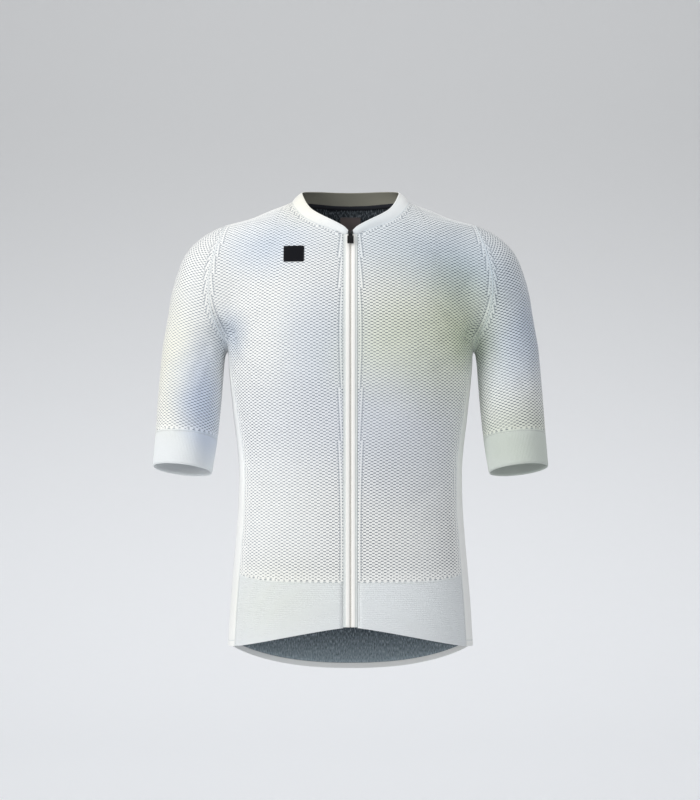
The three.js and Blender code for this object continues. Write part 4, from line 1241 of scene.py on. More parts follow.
# Soft washes of colour over the cloth: the pastel print, and painted shade at the armpits and on the sleeves. Centre
# and reach in millimetres, colour and strength
WHITE = (249, 250, 248)
PRINT_AND_SHADE_WASHES = [
    {"at": (-60, -110, -315), "reach": (110, 120, 90), "colour": (233, 237, 249), "strength": 0.5},
    {"at": (-45, -110, -190), "reach": (55, 90, 90), "colour": (224, 231, 244), "strength": 0.6},
    {"at": (-110, -60, -55), "reach": (70, 90, 42), "colour": (222, 232, 248), "strength": 0.75},
    {"at": (-50, -40, 15), "reach": (50, 60, 45), "colour": (252, 248, 232), "strength": 0.9},
    {"at": (-262, -40, -220), "reach": (34, 90, 110), "colour": (252, 250, 238), "strength": 0.8},
    # Painted shade in the armpit creases
    {"at": (-176, -50, -188), "reach": (30, 70, 42), "colour": (196, 208, 226), "strength": 0.7},
    {"at": (168, -50, -192), "reach": (30, 70, 42), "colour": (212, 221, 206), "strength": 0.6},
    {"at": (75, -70, -60), "reach": (110, 100, 60), "colour": (220, 230, 241), "strength": 0.7},
    {"at": (175, -40, -90), "reach": (90, 110, 55), "colour": (210, 223, 238), "strength": 0.75},
    {"at": (110, -110, -165), "reach": (110, 120, 80), "colour": (242, 246, 228), "strength": 0.7},
    {"at": (40, -120, -215), "reach": (75, 90, 70), "colour": (243, 247, 232), "strength": 0.6},
    {"at": (150, -90, -235), "reach": (70, 110, 70), "colour": (238, 244, 224), "strength": 0.55},
    {"at": (158, -70, -145), "reach": (55, 80, 70), "colour": (236, 242, 216), "strength": 0.6},
    {"at": (80, -110, -330), "reach": (110, 110, 100), "colour": (228, 232, 244), "strength": 0.6},
    {"at": (-120, -100, -560), "reach": (110, 110, 60), "colour": (246, 246, 236), "strength": 0.6},
    # Painted shade on the sleeves: darker on their lower and inner sides, and all over the wearer's left sleeve,
    # away from the key light
    {"at": (-220, -20, -285), "reach": (30, 90, 80), "colour": (196, 209, 237), "strength": 0.9},
    {"at": (235, -20, -190), "reach": (60, 90, 85), "colour": (200, 213, 234), "strength": 0.8},
    {"at": (240, -30, -350), "reach": (80, 90, 80), "colour": (206, 213, 194), "strength": 0.8},
    {"at": (0, 110, -200), "reach": (190, 120, 150), "colour": (224, 232, 246), "strength": 0.7},
    {"at": (90, 110, -400), "reach": (140, 120, 130), "colour": (240, 245, 226), "strength": 0.6},
    {"at": (-100, 110, -520), "reach": (140, 120, 140), "colour": (226, 233, 247), "strength": 0.6},
]


def print_and_painted_shade(nodes, place):
    """White with the soft washes of print and painted shade over it, as a colour socket."""
    colour = srgb(*WHITE)
    shift = nodes.add("TexNoise", Vector=place, Scale=6.0, Detail=2.0)
    wander = nodes.add("VectorMath", {"operation": "MULTIPLY_ADD"}, _0=shift.outputs["Color"],
                       _1=(0.06, 0.06, 0.06), _2=place)
    for wash in PRINT_AND_SHADE_WASHES:
        centre = tuple((c + 30) * MM for c in wash["at"])
        reach = tuple(r * MM for r in wash["reach"])
        mapped = nodes.add("Mapping", {"vector_type": "TEXTURE"}, Vector=wander.outputs[0],
                           Location=centre, Scale=tuple(1.5 * r for r in reach))
        ball = nodes.add("TexGradient", {"gradient_type": "SPHERICAL"}, Vector=mapped.outputs[0])
        soft = nodes.add("MapRange", {"interpolation_type": "SMOOTHSTEP"}, Value=ball.outputs["Fac"],
                         To_Max=wash["strength"])
        colour = nodes.blend(soft.outputs[0], colour, srgb(*wash["colour"]), "MULTIPLY")
    return colour


def fleck(nodes, place, colour, depth=0.06, scale=900.0):
    """A colour with the slight unevenness of spun yarn."""
    noise = nodes.add("TexNoise", Vector=place, Scale=scale, Detail=2.0)
    level = nodes.add("MapRange", Value=noise.outputs["Fac"], To_Min=1 - depth, To_Max=1 + depth * 0.3)
    return nodes.blend(1.0, colour, level.outputs[0], "MULTIPLY")


def stitched_height(nodes, across, along):
    """Height of a fine knit: columns of small loops, across and along in metres."""
    cut = nodes.add("UVMap", {"uv_map": "cut"})
    scaled = nodes.add("Mapping", Vector=cut.outputs[0], Scale=(1 / across, 1 / along, 1))
    parts = nodes.add("SeparateXYZ", Vector=scaled.outputs[0])
    turn = 2 * math.pi
    wale = nodes.math("COSINE", nodes.math("MULTIPLY", parts.outputs[0], turn))
    slant = nodes.math("ABSOLUTE", wale)
    course = nodes.math("ADD", parts.outputs[1], nodes.math("MULTIPLY", slant, 0.35))
    loop = nodes.math("COSINE", nodes.math("MULTIPLY", course, turn))
    return nodes.math("ADD", nodes.math("MULTIPLY", slant, 0.6), nodes.math("MULTIPLY", loop, 0.4))


def drawn_holes(nodes):
    """1 in the holes of the knit, drawn in the flat cut: along a seam, where no whole cell fits."""
    cut = nodes.add("UVMap", {"uv_map": "cut"})
    cells = nodes.add("Mapping", Vector=cut.outputs[0], Scale=(2 / (KNIT_PITCH * MM), 1 / (KNIT_ROW * MM), 1))
    parts = nodes.add("SeparateXYZ", Vector=cells.outputs[0])
    row = nodes.math("FLOOR", parts.outputs[1])
    along = nodes.math("PINGPONG", nodes.math("SUBTRACT", nodes.math("SUBTRACT", parts.outputs[0], row), 1.0), 1.0)
    upward = nodes.math("SUBTRACT", nodes.math("SUBTRACT", parts.outputs[1], row), 0.5)
    wide = nodes.math("MULTIPLY", along, KNIT_PITCH / 2 / HOLE_HALF)
    high = nodes.math("MULTIPLY", upward, KNIT_ROW / HOLE_RISE)
    reach = nodes.math("ADD", nodes.math("MULTIPLY", wide, wide), nodes.math("MULTIPLY", high, high))
    return nodes.add("MapRange", Value=reach, From_Min=1.7, From_Max=1.1).outputs[0]


def cloth_material(name, across=0.9, along=0.7, relief=0.06, roughness=0.82, tint=None, holes=False):
    """White cloth with the washes and a fine knit; drawn holes, where asked for, get painted shade."""
    nodes = Nodes(name, Roughness=roughness, Sheen_Weight=0.25, Sheen_Roughness=0.4, Specular_IOR_Level=0.3)
    place = nodes.add("TexCoord").outputs["Object"]
    colour = print_and_painted_shade(nodes, place)
    if tint:
        colour = nodes.blend(1.0, colour, srgb(*tint), "MULTIPLY")
    height = stitched_height(nodes, across * MM, along * MM)
    if holes:
        drawn = drawn_holes(nodes)
        # Painted shade in the drawn holes, as on the real holes' floors
        colour = nodes.blend(drawn, colour, srgb(142, 151, 162), "MULTIPLY")
        height = nodes.math("SUBTRACT", height, nodes.math("MULTIPLY", drawn, 4.0))
    nodes.join(fleck(nodes, place, colour), "Base Color")
    nodes.bump(height, relief * MM)
    return nodes.material


def hole_shade_material():
    """Painted shade in the holes of the knit: the yarns under them, darker towards the wearer's left, away from the
    key light, and uneven in a cloud.
    """
    nodes = Nodes("knit_hole_painted_shade", Roughness=0.95, Specular_IOR_Level=0.1)
    place = nodes.add("TexCoord").outputs["Object"]
    cloud = nodes.add("TexNoise", Vector=place, Scale=7.0, Detail=1.0)
    parts = nodes.add("SeparateXYZ", Vector=place)
    # Painted shade: lighter towards the wearer's right, on the key light's side, uneven in a cloud
    across = nodes.math("ADD", nodes.math("MULTIPLY", parts.outputs[0], -0.7), cloud.outputs["Fac"])
    pale = nodes.add("MapRange", Value=across, From_Min=0.3, From_Max=0.8)
    shade = nodes.blend(pale.outputs[0], srgb(106, 114, 127), srgb(178, 185, 195))
    colour = nodes.blend(1.0, print_and_painted_shade(nodes, place), shade, "MULTIPLY")
    nodes.join(fleck(nodes, place, colour, 0.25, 1500.0), "Base Color")
    noise = nodes.add("TexNoise", Vector=place, Scale=2500.0)
    nodes.bump(noise.outputs["Fac"], 0.1 * MM)
    return nodes.material


def reverse_shade_material():
    """The reverse of the open knit with its pale specks, darkened with painted shade inside the jersey and lighter
    near the hem with painted light.
    """
    nodes = Nodes("knit_reverse_painted_shade", Roughness=0.9, Sheen_Weight=0.15, Specular_IOR_Level=0.2)
    place = nodes.add("TexCoord").outputs["Object"]
    cut = nodes.add("UVMap", {"uv_map": "cut"}).outputs[0]
    cloud = nodes.add("TexNoise", Vector=place, Scale=16.0, Detail=3.0)
    # Painted shade inside the jersey, uneven in a cloud
    painted_shading = nodes.blend(cloud.outputs["Fac"], srgb(38, 45, 52), srgb(78, 88, 95))
    parts = nodes.add("SeparateXYZ", Vector=place)
    # Painted light near the hem, lighter towards the bottom
    low = nodes.add("MapRange", {"interpolation_type": "SMOOTHSTEP"}, Value=parts.outputs[2],
                    From_Min=-0.6, From_Max=-0.69)
    painted_shading = nodes.blend(low.outputs[0], painted_shading, srgb(150, 165, 172))
    streak = nodes.add("Mapping", Vector=cut, Scale=(1 / (1.6 * MM), 1 / (5 * MM), 1))
    fibre = nodes.add("TexNoise", Vector=streak.outputs[0], Scale=1.0, Detail=3.0)
    bright = nodes.add("MapRange", Value=fibre.outputs["Fac"], From_Min=0.5, From_Max=0.7, To_Max=0.8)
    woven = nodes.blend(bright.outputs[0], painted_shading, srgb(176, 186, 196))
    gap = nodes.add("MapRange", Value=fibre.outputs["Fac"], From_Min=0.46, From_Max=0.3, To_Max=0.55)
    nodes.join(nodes.blend(gap.outputs[0], woven, srgb(30, 34, 42)), "Base Color")
    nodes.bump(fibre.outputs["Fac"], 0.25 * MM)
    return nodes.material


def yarn_material(name, colour, roughness=0.7, scale=1400.0, relief=0.08, **sockets):
    """Thread, tape or webbing in one colour, with its yarns."""
    nodes = Nodes(name, Roughness=roughness, Sheen_Weight=0.2, **sockets)
    place = nodes.add("TexCoord").outputs["Object"]
    tint = nodes.add("TexNoise", Vector=place, Scale=35.0, Detail=3.0)
    level = nodes.add("MapRange", Value=tint.outputs["Fac"], To_Min=0.9, To_Max=1.05)
    shaded = nodes.blend(1.0, srgb(*colour), level.outputs[0], "MULTIPLY")
    nodes.join(fleck(nodes, place, shaded, 0.12, scale), "Base Color")
    yarns = nodes.add("TexWave", {"bands_direction": "DIAGONAL"}, Vector=place, Scale=scale / 2, Distortion=1.5)
    nodes.bump(yarns.outputs["Fac"], relief * MM)
    return nodes.material


def woven_material(name, colour, across, along, roughness=0.8, relief=0.1, contrast=0.12, sides=None, **sockets):
    """A plain weave: ribs each way, across and along in millimetres. The sides of a tape can be less bright."""
    nodes = Nodes(name, Roughness=roughness, **sockets)
    place = nodes.add("TexCoord").outputs["Object"]
    cut = nodes.add("UVMap", {"uv_map": "cut"})
    scaled = nodes.add("Mapping", Vector=cut.outputs[0], Scale=(1 / (across * MM), 1 / (along * MM), 1))
    parts = nodes.add("SeparateXYZ", Vector=scaled.outputs[0])
    turn = 2 * math.pi
    warp = nodes.math("COSINE", nodes.math("MULTIPLY", parts.outputs[0], turn))
    weft = nodes.math("COSINE", nodes.math("MULTIPLY", parts.outputs[1], turn))
    height = nodes.math("ADD", nodes.math("MULTIPLY", warp, 0.3), nodes.math("MULTIPLY", weft, 0.3))
    cloud = nodes.add("TexNoise", Vector=place, Scale=30.0, Detail=4.0)
    uneven = nodes.math("ADD", height, nodes.math("MULTIPLY", cloud.outputs["Fac"], 0.6))
    level = nodes.add("MapRange", Value=uneven, From_Min=-0.6, From_Max=1.2, To_Min=1 - contrast, To_Max=1.05)
    shaded = nodes.blend(1.0, srgb(*colour), level.outputs[0], "MULTIPLY")
    if sides:
        across = nodes.math("ABSOLUTE", nodes.add("SeparateXYZ", Vector=place).outputs[0])
        outer = nodes.add("MapRange", Value=across, From_Min=5.8 * MM, From_Max=7 * MM)
        shaded = nodes.blend(outer.outputs[0], shaded, srgb(*sides), "MULTIPLY")
    nodes.join(fleck(nodes, place, shaded, 0.1, 1800.0), "Base Color")
    nodes.bump(height, relief * MM)
    return nodes.material


def coated_material(name, colour, roughness, grain=700.0, relief=0.03, **sockets):
    """Plastic, lacquer or coated cloth: fine grain, soft smudges and slightly uneven gloss."""
    nodes = Nodes(name, **sockets)
    place = nodes.add("TexCoord").outputs["Object"]
    smudge = nodes.add("TexNoise", Vector=place, Scale=90.0, Detail=4.0)
    gloss = nodes.add("MapRange", Value=smudge.outputs["Fac"], To_Min=roughness - 0.08, To_Max=roughness + 0.1)
    nodes.join(gloss.outputs[0], "Roughness")
    nodes.join(fleck(nodes, place, srgb(*colour), 0.25, grain), "Base Color")
    speck = nodes.add("TexNoise", Vector=place, Scale=grain, Detail=2.0)
    nodes.bump(speck.outputs["Fac"], relief * MM)
    return nodes.material


MESH = cloth_material("mesh_cloth")
MESH_BORDER = cloth_material("mesh_border", holes=True)
HOLE_SHADE = hole_shade_material()
REVERSE_SHADE = reverse_shade_material()
SMOOTH = cloth_material("smooth_cloth", 0.6, 0.5, 0.04, 0.78)
RIB = cloth_material("rib_cloth", 0.7, 0.6, 0.05, 0.8, (237, 240, 244))
SEAM = cloth_material("seam_cloth", 0.5, 0.5, 0.03, 0.75, (238, 241, 243))
THREAD = yarn_material("thread", (240, 241, 240))
# Thread inside the back, greyed with painted shade like the reverse
REVERSE_THREAD_SHADE = yarn_material("reverse_thread_painted_shade", (118, 128, 134))
TAPE = woven_material("zip_tape_cloth", (253, 252, 248), 0.9, 0.6, 0.72, 0.08, 0.04, (228, 234, 236),
                      Sheen_Weight=0.2)
COIL = coated_material("zip_coil", (226, 223, 216), 0.5)
METAL = coated_material("slider_lacquer", (12, 12, 14), 0.42, 500.0, 0.02, Specular_IOR_Level=0.35)
RUBBER = coated_material("pull_rubber", (9, 9, 11), 0.55, 900.0, 0.04, Specular_IOR_Level=0.25)
COATED = woven_material("patch_coated", (8, 10, 18), 0.5, 0.5, 0.6, 0.03, 0.3, Specular_IOR_Level=0.12)
PATCH_THREAD = yarn_material("patch_thread", (20, 22, 27))
LABEL = woven_material("label_satin", (150, 137, 137), 0.45, 0.7, 0.6, 0.06, 0.25, Sheen_Weight=0.2)
LINING = woven_material("collar_lining", (150, 149, 137), 0.7, 1.1, 0.85, 0.1, 0.15)
# The neck tape is darkened with painted shade, as inside the back neck
NECK_TAPE_SHADE = woven_material("neck_tape", (34, 37, 46), 0.7, 0.7, 0.85, 0.08, 0.2)

# The cloth pieces
KNIT_MATERIALS = [MESH, HOLE_SHADE, REVERSE_SHADE, MESH_BORDER]
SIDES = {"right": -1, "left": 1}
CLOTHS = {}


def on_garment(piece, nodes=(), body="garment"):
    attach(piece, body)
    if nodes:
        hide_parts(*nodes)
    return piece


def knit_piece(name, panel, nodes, **options):
    piece = on_garment(knit(name, panel, KNIT_MATERIALS, **options), nodes)
    CLOTHS[name] = (piece, *panel.size(), panel.area * MM * MM)


def lengths(points):
    """How far each point of a grid lies along its row and up its column."""
    across = np.linalg.norm(np.diff(points, axis=1), axis=2)
    upward = np.linalg.norm(np.diff(points, axis=0), axis=2)
    u = np.concatenate([np.zeros((len(points), 1)), np.cumsum(across, 1)], 1)
    v = np.concatenate([np.zeros((1, points.shape[1])), np.cumsum(upward, 0)], 0)
    return u, v


def plain_piece(name, points, normals, materials, nodes, slot, outside=0.0, inside=-1.4, soft_edge=EDGE_ROLL):
    """A piece of smooth or ribbed cloth between two heights over its surface, with rounded edges."""
    u, v = lengths(points)
    room = np.minimum(np.minimum(u, u[:, -1:] - u), np.minimum(v, v[-1:] - v))
    near = np.clip(room / soft_edge, 0, 1)
    outside = outside * near - EDGE_SINK * (1 - near) ** 2
    piece = shell(name, points, normals, materials, outside, inside, np.stack([u, v], 2))
    on_garment(piece, nodes)
    cross = np.cross(points[1:, 1:] - points[:-1, :-1], points[1:, :-1] - points[:-1, 1:])
    area = float(np.linalg.norm(cross, axis=2).sum()) / 2 * MM * MM
    width, length = float(u[:, -1].max()) * MM, float(v[-1].max()) * MM
    CLOTHS[name] = (piece, width, length, min(area, width * length))


def fine(base, rows, columns):
    """A settled grid with its folds, refined, and its normals."""
    surface, outward = folded(base)
    points = refine(surface, rows, columns)
    return points, grid_normals(points, refine(outward, rows, columns))


def smoothly(value, start, end):
    t = np.clip((value - start) / (end - start), 0, 1)
    return t * t * (3 - 2 * t)


# Ribs of the hem bands and the cuffs
BAND_RIB = 2.9
BAND_RIB_HEIGHT = 0.42
CUFF_RIBS = 128
CUFF_RIB_HEIGHT = 0.28


def front_fade(place):
    """The front's holes close up towards the side panel and the band."""
    up, out = place.T
    return 1 - 0.42 * smoothly(out, 0.86, 1) * (up < 0.62) - 0.2 * smoothly(-up, -0.04, 0)


def sleeve_fade(place):
    return 1 - 0.35 * smoothly(-place[:, 0], -0.05, 0)


def add_fronts_and_sleeves():
    for name, side in SIDES.items():
        front = Panel(*folded(front_grid(side)), 0)
        knit_piece(f"front_{name}_knit", front, [f"front_{name}", f"front_{name}_top"], fade=front_fade)
        sleeve = Panel(*folded(sleeve_grid(side)), SLEEVE_COLUMNS // 2)
        knit_piece(f"sleeve_{name}_knit", sleeve, [f"sleeve_{name}"], fade=sleeve_fade)
        plain_piece(f"side_{name}_cloth", *fine(side_grid(side), 3, 2), [SMOOTH, REVERSE_SHADE],
                    [f"side_panel_{name}"], "smooth_cloth")
        points, normals = fine(cuff_grid(side), 1, 8)
        turn = fractions(points.shape[1] - 1) * 2 * math.pi * CUFF_RIBS
        ribs = CUFF_RIB_HEIGHT * np.cos(turn)[None] * np.ones((len(points), 1))
        plain_piece(f"cuff_{name}_cloth", points, normals, [RIB, RIB], [f"cuff_{name}"], "rib_cloth", ribs, -1.6)
        points, normals = fine(band_grid(side), 14, 1)
        ribs = BAND_RIB_HEIGHT * np.cos(points[..., 2] * 2 * math.pi / BAND_RIB)
        plain_piece(f"band_{name}_cloth", points, normals, [RIB, REVERSE_SHADE], [f"hem_front_{name}"], "rib_cloth", ribs)


# Rear pockets: one cloth over the lower back, parted by two seams
POCKET_COLUMNS = 60
POCKET_ROWS = 32
POCKET_PARTS = 3
POCKET_BASE = 1.7
POCKET_SLACK = 2.2
POCKET_BAND = 17


def add_back():
    """The back, its narrow hem, the pockets on it and the seams of the pockets."""
    back = Panel(*folded(back_grid()), NECK_COLUMNS + SHOULDER_COLUMNS)
    side_z = side_low("back")
    knit_piece("back_knit", back, ["back", "back_top"],
               bare=lambda p: (p[:, 2] < POCKET_TOP_Z - 8) & (np.abs(p[:, 0]) < 150))
    plain_piece("hem_back_cloth", *fine(hem_back_grid(), 3, 2), [SMOOTH, SMOOTH], ["hem_back"], "rib_cloth",
                0.25, -1.7)
    heights = back.points[:, 0, 2]
    low, high = [np.interp(z, heights, np.arange(len(heights))) for z in (side_z + POCKET_RISE, POCKET_TOP_Z)]
    margin = 3.4 * FINER
    rows = mix(low, high, fractions(POCKET_ROWS))
    columns = mix(margin, back.limit[1] - margin, fractions(POCKET_COLUMNS))
    place = np.stack(np.meshgrid(rows, columns, indexing="ij"), 2).reshape(-1, 2)
    up, along = np.meshgrid(fractions(POCKET_ROWS), fractions(POCKET_COLUMNS), indexing="ij")
    slack = POCKET_SLACK * up**3 * np.abs(np.sin(math.pi * POCKET_PARTS * along)) ** 0.8
    slack += 0.5 * np.sin(math.pi * up) * np.abs(np.sin(math.pi * POCKET_PARTS * along))
    surface = back.lift(place, POCKET_BASE + slack.ravel()).reshape(POCKET_ROWS + 1, POCKET_COLUMNS + 1, 3)
    outward = unit(back.at(back.normals, place)[0]).reshape(surface.shape)
    pocket = Panel(surface, outward, POCKET_COLUMNS // 2)
    top = surface[-1, POCKET_COLUMNS // 2, 2]
    level = pocket.limit[0] * (1 - POCKET_BAND / (top - surface[0, POCKET_COLUMNS // 2, 2]))
    on_band = pocket.points[int(level)][:, 2]
    x_order = pocket.points[int(level)][:, 0]
    knit_piece("rear_pockets_knit", pocket, ["rear_pockets"],
               bare=lambda p: p[:, 2] > np.interp(p[:, 0], x_order, on_band))
    parts = Parts()

    def pocket_line(row, column):
        spots = np.stack(np.broadcast_arrays(row, column), 1).astype(float)
        return pocket.lift(spots, 0), unit(pocket.at(pocket.normals, spots)[0])

    tall, wide = pocket.limit
    for third in (1, 2):
        line = pocket_line(np.linspace(1, tall - 1, 60), np.full(60, wide * third / POCKET_PARTS))
        ridge(parts, line, 1.3, 0.45)
        for offset in (-2, 2):
            stitches(parts, line, offset)
    band = pocket_line(np.full(90, level), np.linspace(2, wide - 2, 90))
    ridge(parts, band, 1.1, 0.4)
    stitches(parts, band, -1.9)
    for edge, offset in ((1.0, -2.0), (tall - 1.0, 2.2)):
        stitches(parts, pocket_line(np.full(90, edge), np.linspace(3, wide - 3, 90)), offset)
    for column, offset in ((1.0, 2.0), (wide - 1.0, -2.0)):
        stitches(parts, pocket_line(np.linspace(3, tall - 3, 60), np.full(60, column)), offset)
    on_garment(parts.make("pocket_seams", [SEAM, THREAD]))
    inner = Parts()
    under = back.lift(place.reshape(POCKET_ROWS + 1, -1, 2)[0], -1.3), -outward[0]
    ridge(inner, under, 0.6, 0.3)
    stitches(inner, under, 1.3)
    on_garment(inner.make("pocket_seam_inside", [REVERSE_THREAD_SHADE, REVERSE_THREAD_SHADE]))


# Seams on the jersey: half width and height of each one's ridge, and how far its stitches lie beside it
SEAMS = {
    "armhole": (1.0, 0.6, (1.9,)),
    "shoulder": (1.0, 0.3, (-1.8, 1.8)),
    "side_front": (0.9, 0.25, (-1.7,)),
    "side_back": (1.2, 0.3, (2.0,)),
    "band": (0.7, 0.1, (1.6,)),
    "cuff": (1.0, 0.28, (-1.7,)),
}


def seam_lines(side):
    """The seams of one side, each as a line and whether it closes."""
    angles = np.linspace(0, 180, 73)
    hole = np.concatenate([armhole(angles, -1, side), armhole(angles[::-1], 1, side)[1:-1]])
    lines = {"armhole": (hole, True), "shoulder": (shoulder_at(fractions(40), side), False)}
    for column, face in (("front", -1), ("back", 1)):
        top = armhole(UNDERARM_ANGLE, face, side)[0, 2] - 3
        lines[f"side_{column}"] = (side_seam(np.linspace(side_low(column) + 1, top, 120), column, face, side), False)
    lines["band"] = (front_line(band_height, side, 60), False)
    lines["cuff"] = (arm_ring(CUFF_SEAM_STEP, 1, side, 96)[:-1], True)
    return lines


def add_seams():
    for name, side in SIDES.items():
        for seam, (line, closed) in seam_lines(side).items():
            half, height, rows = SEAMS[seam]
            parts = Parts()
            framed = on_body(line)
            ridge(parts, framed, half, height, closed=closed)
            for offset in rows:
                stitches(parts, framed, offset * side, closed=closed)
            on_garment(parts.make(f"{seam}_seam_{name}", [SEAM, THREAD]))
    parts = Parts()
    angle = lookup(SIDE_PANEL, "z", "front", SIDE_Z)
    hem = on_body(back_line(HEM_FOLD, angle + 1, 359 - angle, 260))
    ridge(parts, hem, 0.9, 0.2)
    for offset in (-2.2, -5.2):
        stitches(parts, hem, offset)
    on_garment(parts.make("hem_seam", [SEAM, THREAD]))


# Collar: rows from its seam up to its free edge
COLLAR_BOW = 1.2
COLLAR_CLOTH = 2
COLLAR_EDGE = 1.0
COLLAR_PITCH = 0.2


def add_collar():
    steps = np.arange(0, COLLAR_BACK_STEP + COLLAR_PITCH / 2, COLLAR_PITCH)
    halves = []
    for side in (-1, 1):
        edge = np.stack([lookup(COLLAR, "step", f"edge_{axis}", steps) for axis in "xyz"], 1)
        halves.append((neck_at(steps, side), edge * (side, 1, 1)))
    seam, edge = [np.concatenate([halves[0][i], halves[1][i][-2::-1]]) for i in range(2)]
    along = np.gradient(seam + edge, axis=0)
    normals = unit(np.cross(along, edge - seam))
    inward = (normals * (edge - (0, RIDGE_Y, 0)) * (1, 1, 0)).sum(1) < 0
    normals[inward] *= -1
    tall = np.linalg.norm(edge - seam, axis=1)
    low = np.concatenate([[0, 0.012, 0.03, 0.06], np.linspace(0.1, 0.9, 13)])
    t = np.concatenate([low, [0.935, 0.96, 0.975, 0.987, 0.995, 1]])[:, None, None]
    bow = COLLAR_BOW * np.sin(math.pi * t)
    points = mix(seam, edge, t) + normals * bow
    grid = np.broadcast_to(normals, points.shape)
    left = tall * (1 - t[..., 0])
    drop = COLLAR_EDGE - np.sqrt(np.maximum(COLLAR_EDGE**2 - np.maximum(COLLAR_EDGE - left, 0) ** 2, 0))
    sunk = EDGE_SINK * (1 - np.clip(tall * t[..., 0] / EDGE_ROLL, 0, 1)) ** 2
    u, v = lengths(points)
    piece = shell("collar_cloth", points, grid, [SMOOTH, LINING], -drop - sunk, drop - COLLAR_CLOTH,
                  np.stack([u, v], 2))
    on_garment(piece, ["collar"])
    cross = np.cross(points[1:, 1:] - points[:-1, :-1], points[1:, :-1] - points[:-1, 1:])
    area = float(np.linalg.norm(cross, axis=2).sum()) / 2 * MM * MM
    width, length = float(u[:, -1].max()) * MM, float(v[-1].max()) * MM
    CLOTHS["collar_cloth"] = (piece, width, length, min(area, width * length))
    parts = Parts()
    join = on_body(seam[8:-8])
    ridge(parts, join, 1.1, 0.35)
    stitches(parts, join, -2.2)
    rim = (mix(seam, edge, 0.86) + normals * COLLAR_BOW * math.sin(math.pi * 0.86), normals)
    stitches(parts, rim, 0, lift=0.05)
    on_garment(parts.make("collar_seam", [SEAM, THREAD]))
    inside = Parts()
    back = slice(36, -36)
    ridge(inside, (seam[back] - normals[back] * 2.2, -normals[back]), 3.2, 0.6)
    on_garment(inside.make("neck_tape", [NECK_TAPE_SHADE]))


# Zip: on each side a roll with a flat edge beside it, with the coil in the groove between
ZIP_TOP_Z = -45
ROLL_SHARE = 0.7
ROLL_HEIGHT = 1.15
TAPE_HEIGHT = 0.5
ZIP_END = 4
COIL_PITCH = 1.4


def add_zip():
    bottom = float(hem_z(np.array(0.0)))
    heights = np.concatenate([bottom + np.array([0.1, 0.5, 1, 1.7, 2.6]), np.linspace(bottom + 4, ZIP_TOP_Z, 260)])
    for name, side in SIDES.items():
        s = np.concatenate([np.linspace(0, ROLL_SHARE, 15), np.linspace(ROLL_SHARE + 0.04, 1, 6)])
        x = side * mix(ZIP_CHAIN_HALF + 0.12, ZIP_EDGE_X - 0.12, s)
        grid_x, grid_z = np.meshgrid(x, heights)
        base = level_at(grid_x.ravel(), grid_z.ravel(), -1).reshape(*grid_x.shape, 3)
        points, outward = folded(base)
        roll = np.sqrt(np.maximum(1 - (2 * s / ROLL_SHARE - 1) ** 2, 0)) * (s <= ROLL_SHARE)
        flat = TAPE_HEIGHT * np.clip((1 - s) / 0.08, 0, 1)
        end = np.sqrt(1 - (1 - np.clip((heights - bottom) / ZIP_END, 0, 1)) ** 2)
        waver = 1 + 0.05 * np.sin(heights / 23) + 0.03 * np.sin(heights / 9.7 + side)
        height = (flat + ROLL_HEIGHT * roll * waver[:, None]) * end[:, None] - 0.2 * (1 - end[:, None])
        plain_piece(f"zip_{name}_tape", points, outward, [TAPE, TAPE], [f"zip_tape_{name}"], "zip_tape",
                    height, -1.5, 0.4)
        parts = Parts()
        line = on_body(level_at(side * mix(ZIP_CHAIN_HALF, ZIP_EDGE_X, 0.83), np.linspace(bottom + 5, -47, 120), -1))
        stitches(parts, line, 0, lift=TAPE_HEIGHT)
        stitches(parts, on_body(level_at(side * (ZIP_EDGE_X + 1.9), np.linspace(bottom + 4, -50, 120), -1)), 0)
        on_garment(parts.make(f"zip_stitches_{name}", [SEAM, THREAD]))
    count = int((ZIP_TOP_Z - bottom - 1) / COIL_PITCH)
    z = bottom + 0.5 + np.arange(4 * count + 1) * COIL_PITCH / 4
    grid_x, grid_z = np.meshgrid(ZIP_CHAIN_HALF * np.linspace(-1, 1, 7), z)
    points, outward = folded(level_at(grid_x.ravel(), grid_z.ravel(), -1).reshape(*grid_x.shape, 3))
    tooth = np.abs(np.sin(math.pi * (z[:, None] - bottom) / COIL_PITCH + 0.5 * np.sign(grid_x)))
    piece = shell("zip_coil", points, outward, [COIL, COIL], -0.4 + 0.5 * tooth * (1 - (grid_x / 1.3) ** 2), -1.5)
    on_garment(piece, ["zip_chain"])


# Slider and pull, set square to the chest: x across, y outwards, z up the zip
SLIDER_TOP = -41.5
SLIDER_SIZE = (6.2, 2.6, 11)
SLIDER_LIFT = 0.85
PIN = {"out": 1.85, "down": 6.8, "ears": (1.75, 2.9), "ear_radius": 1.3, "radius": 0.6}
PULL_SIZE = (9, 1.7, 12.6)
PULL_NECK = 2.4
KNUCKLE_RADIUS = 1.5
GRIPS = 5


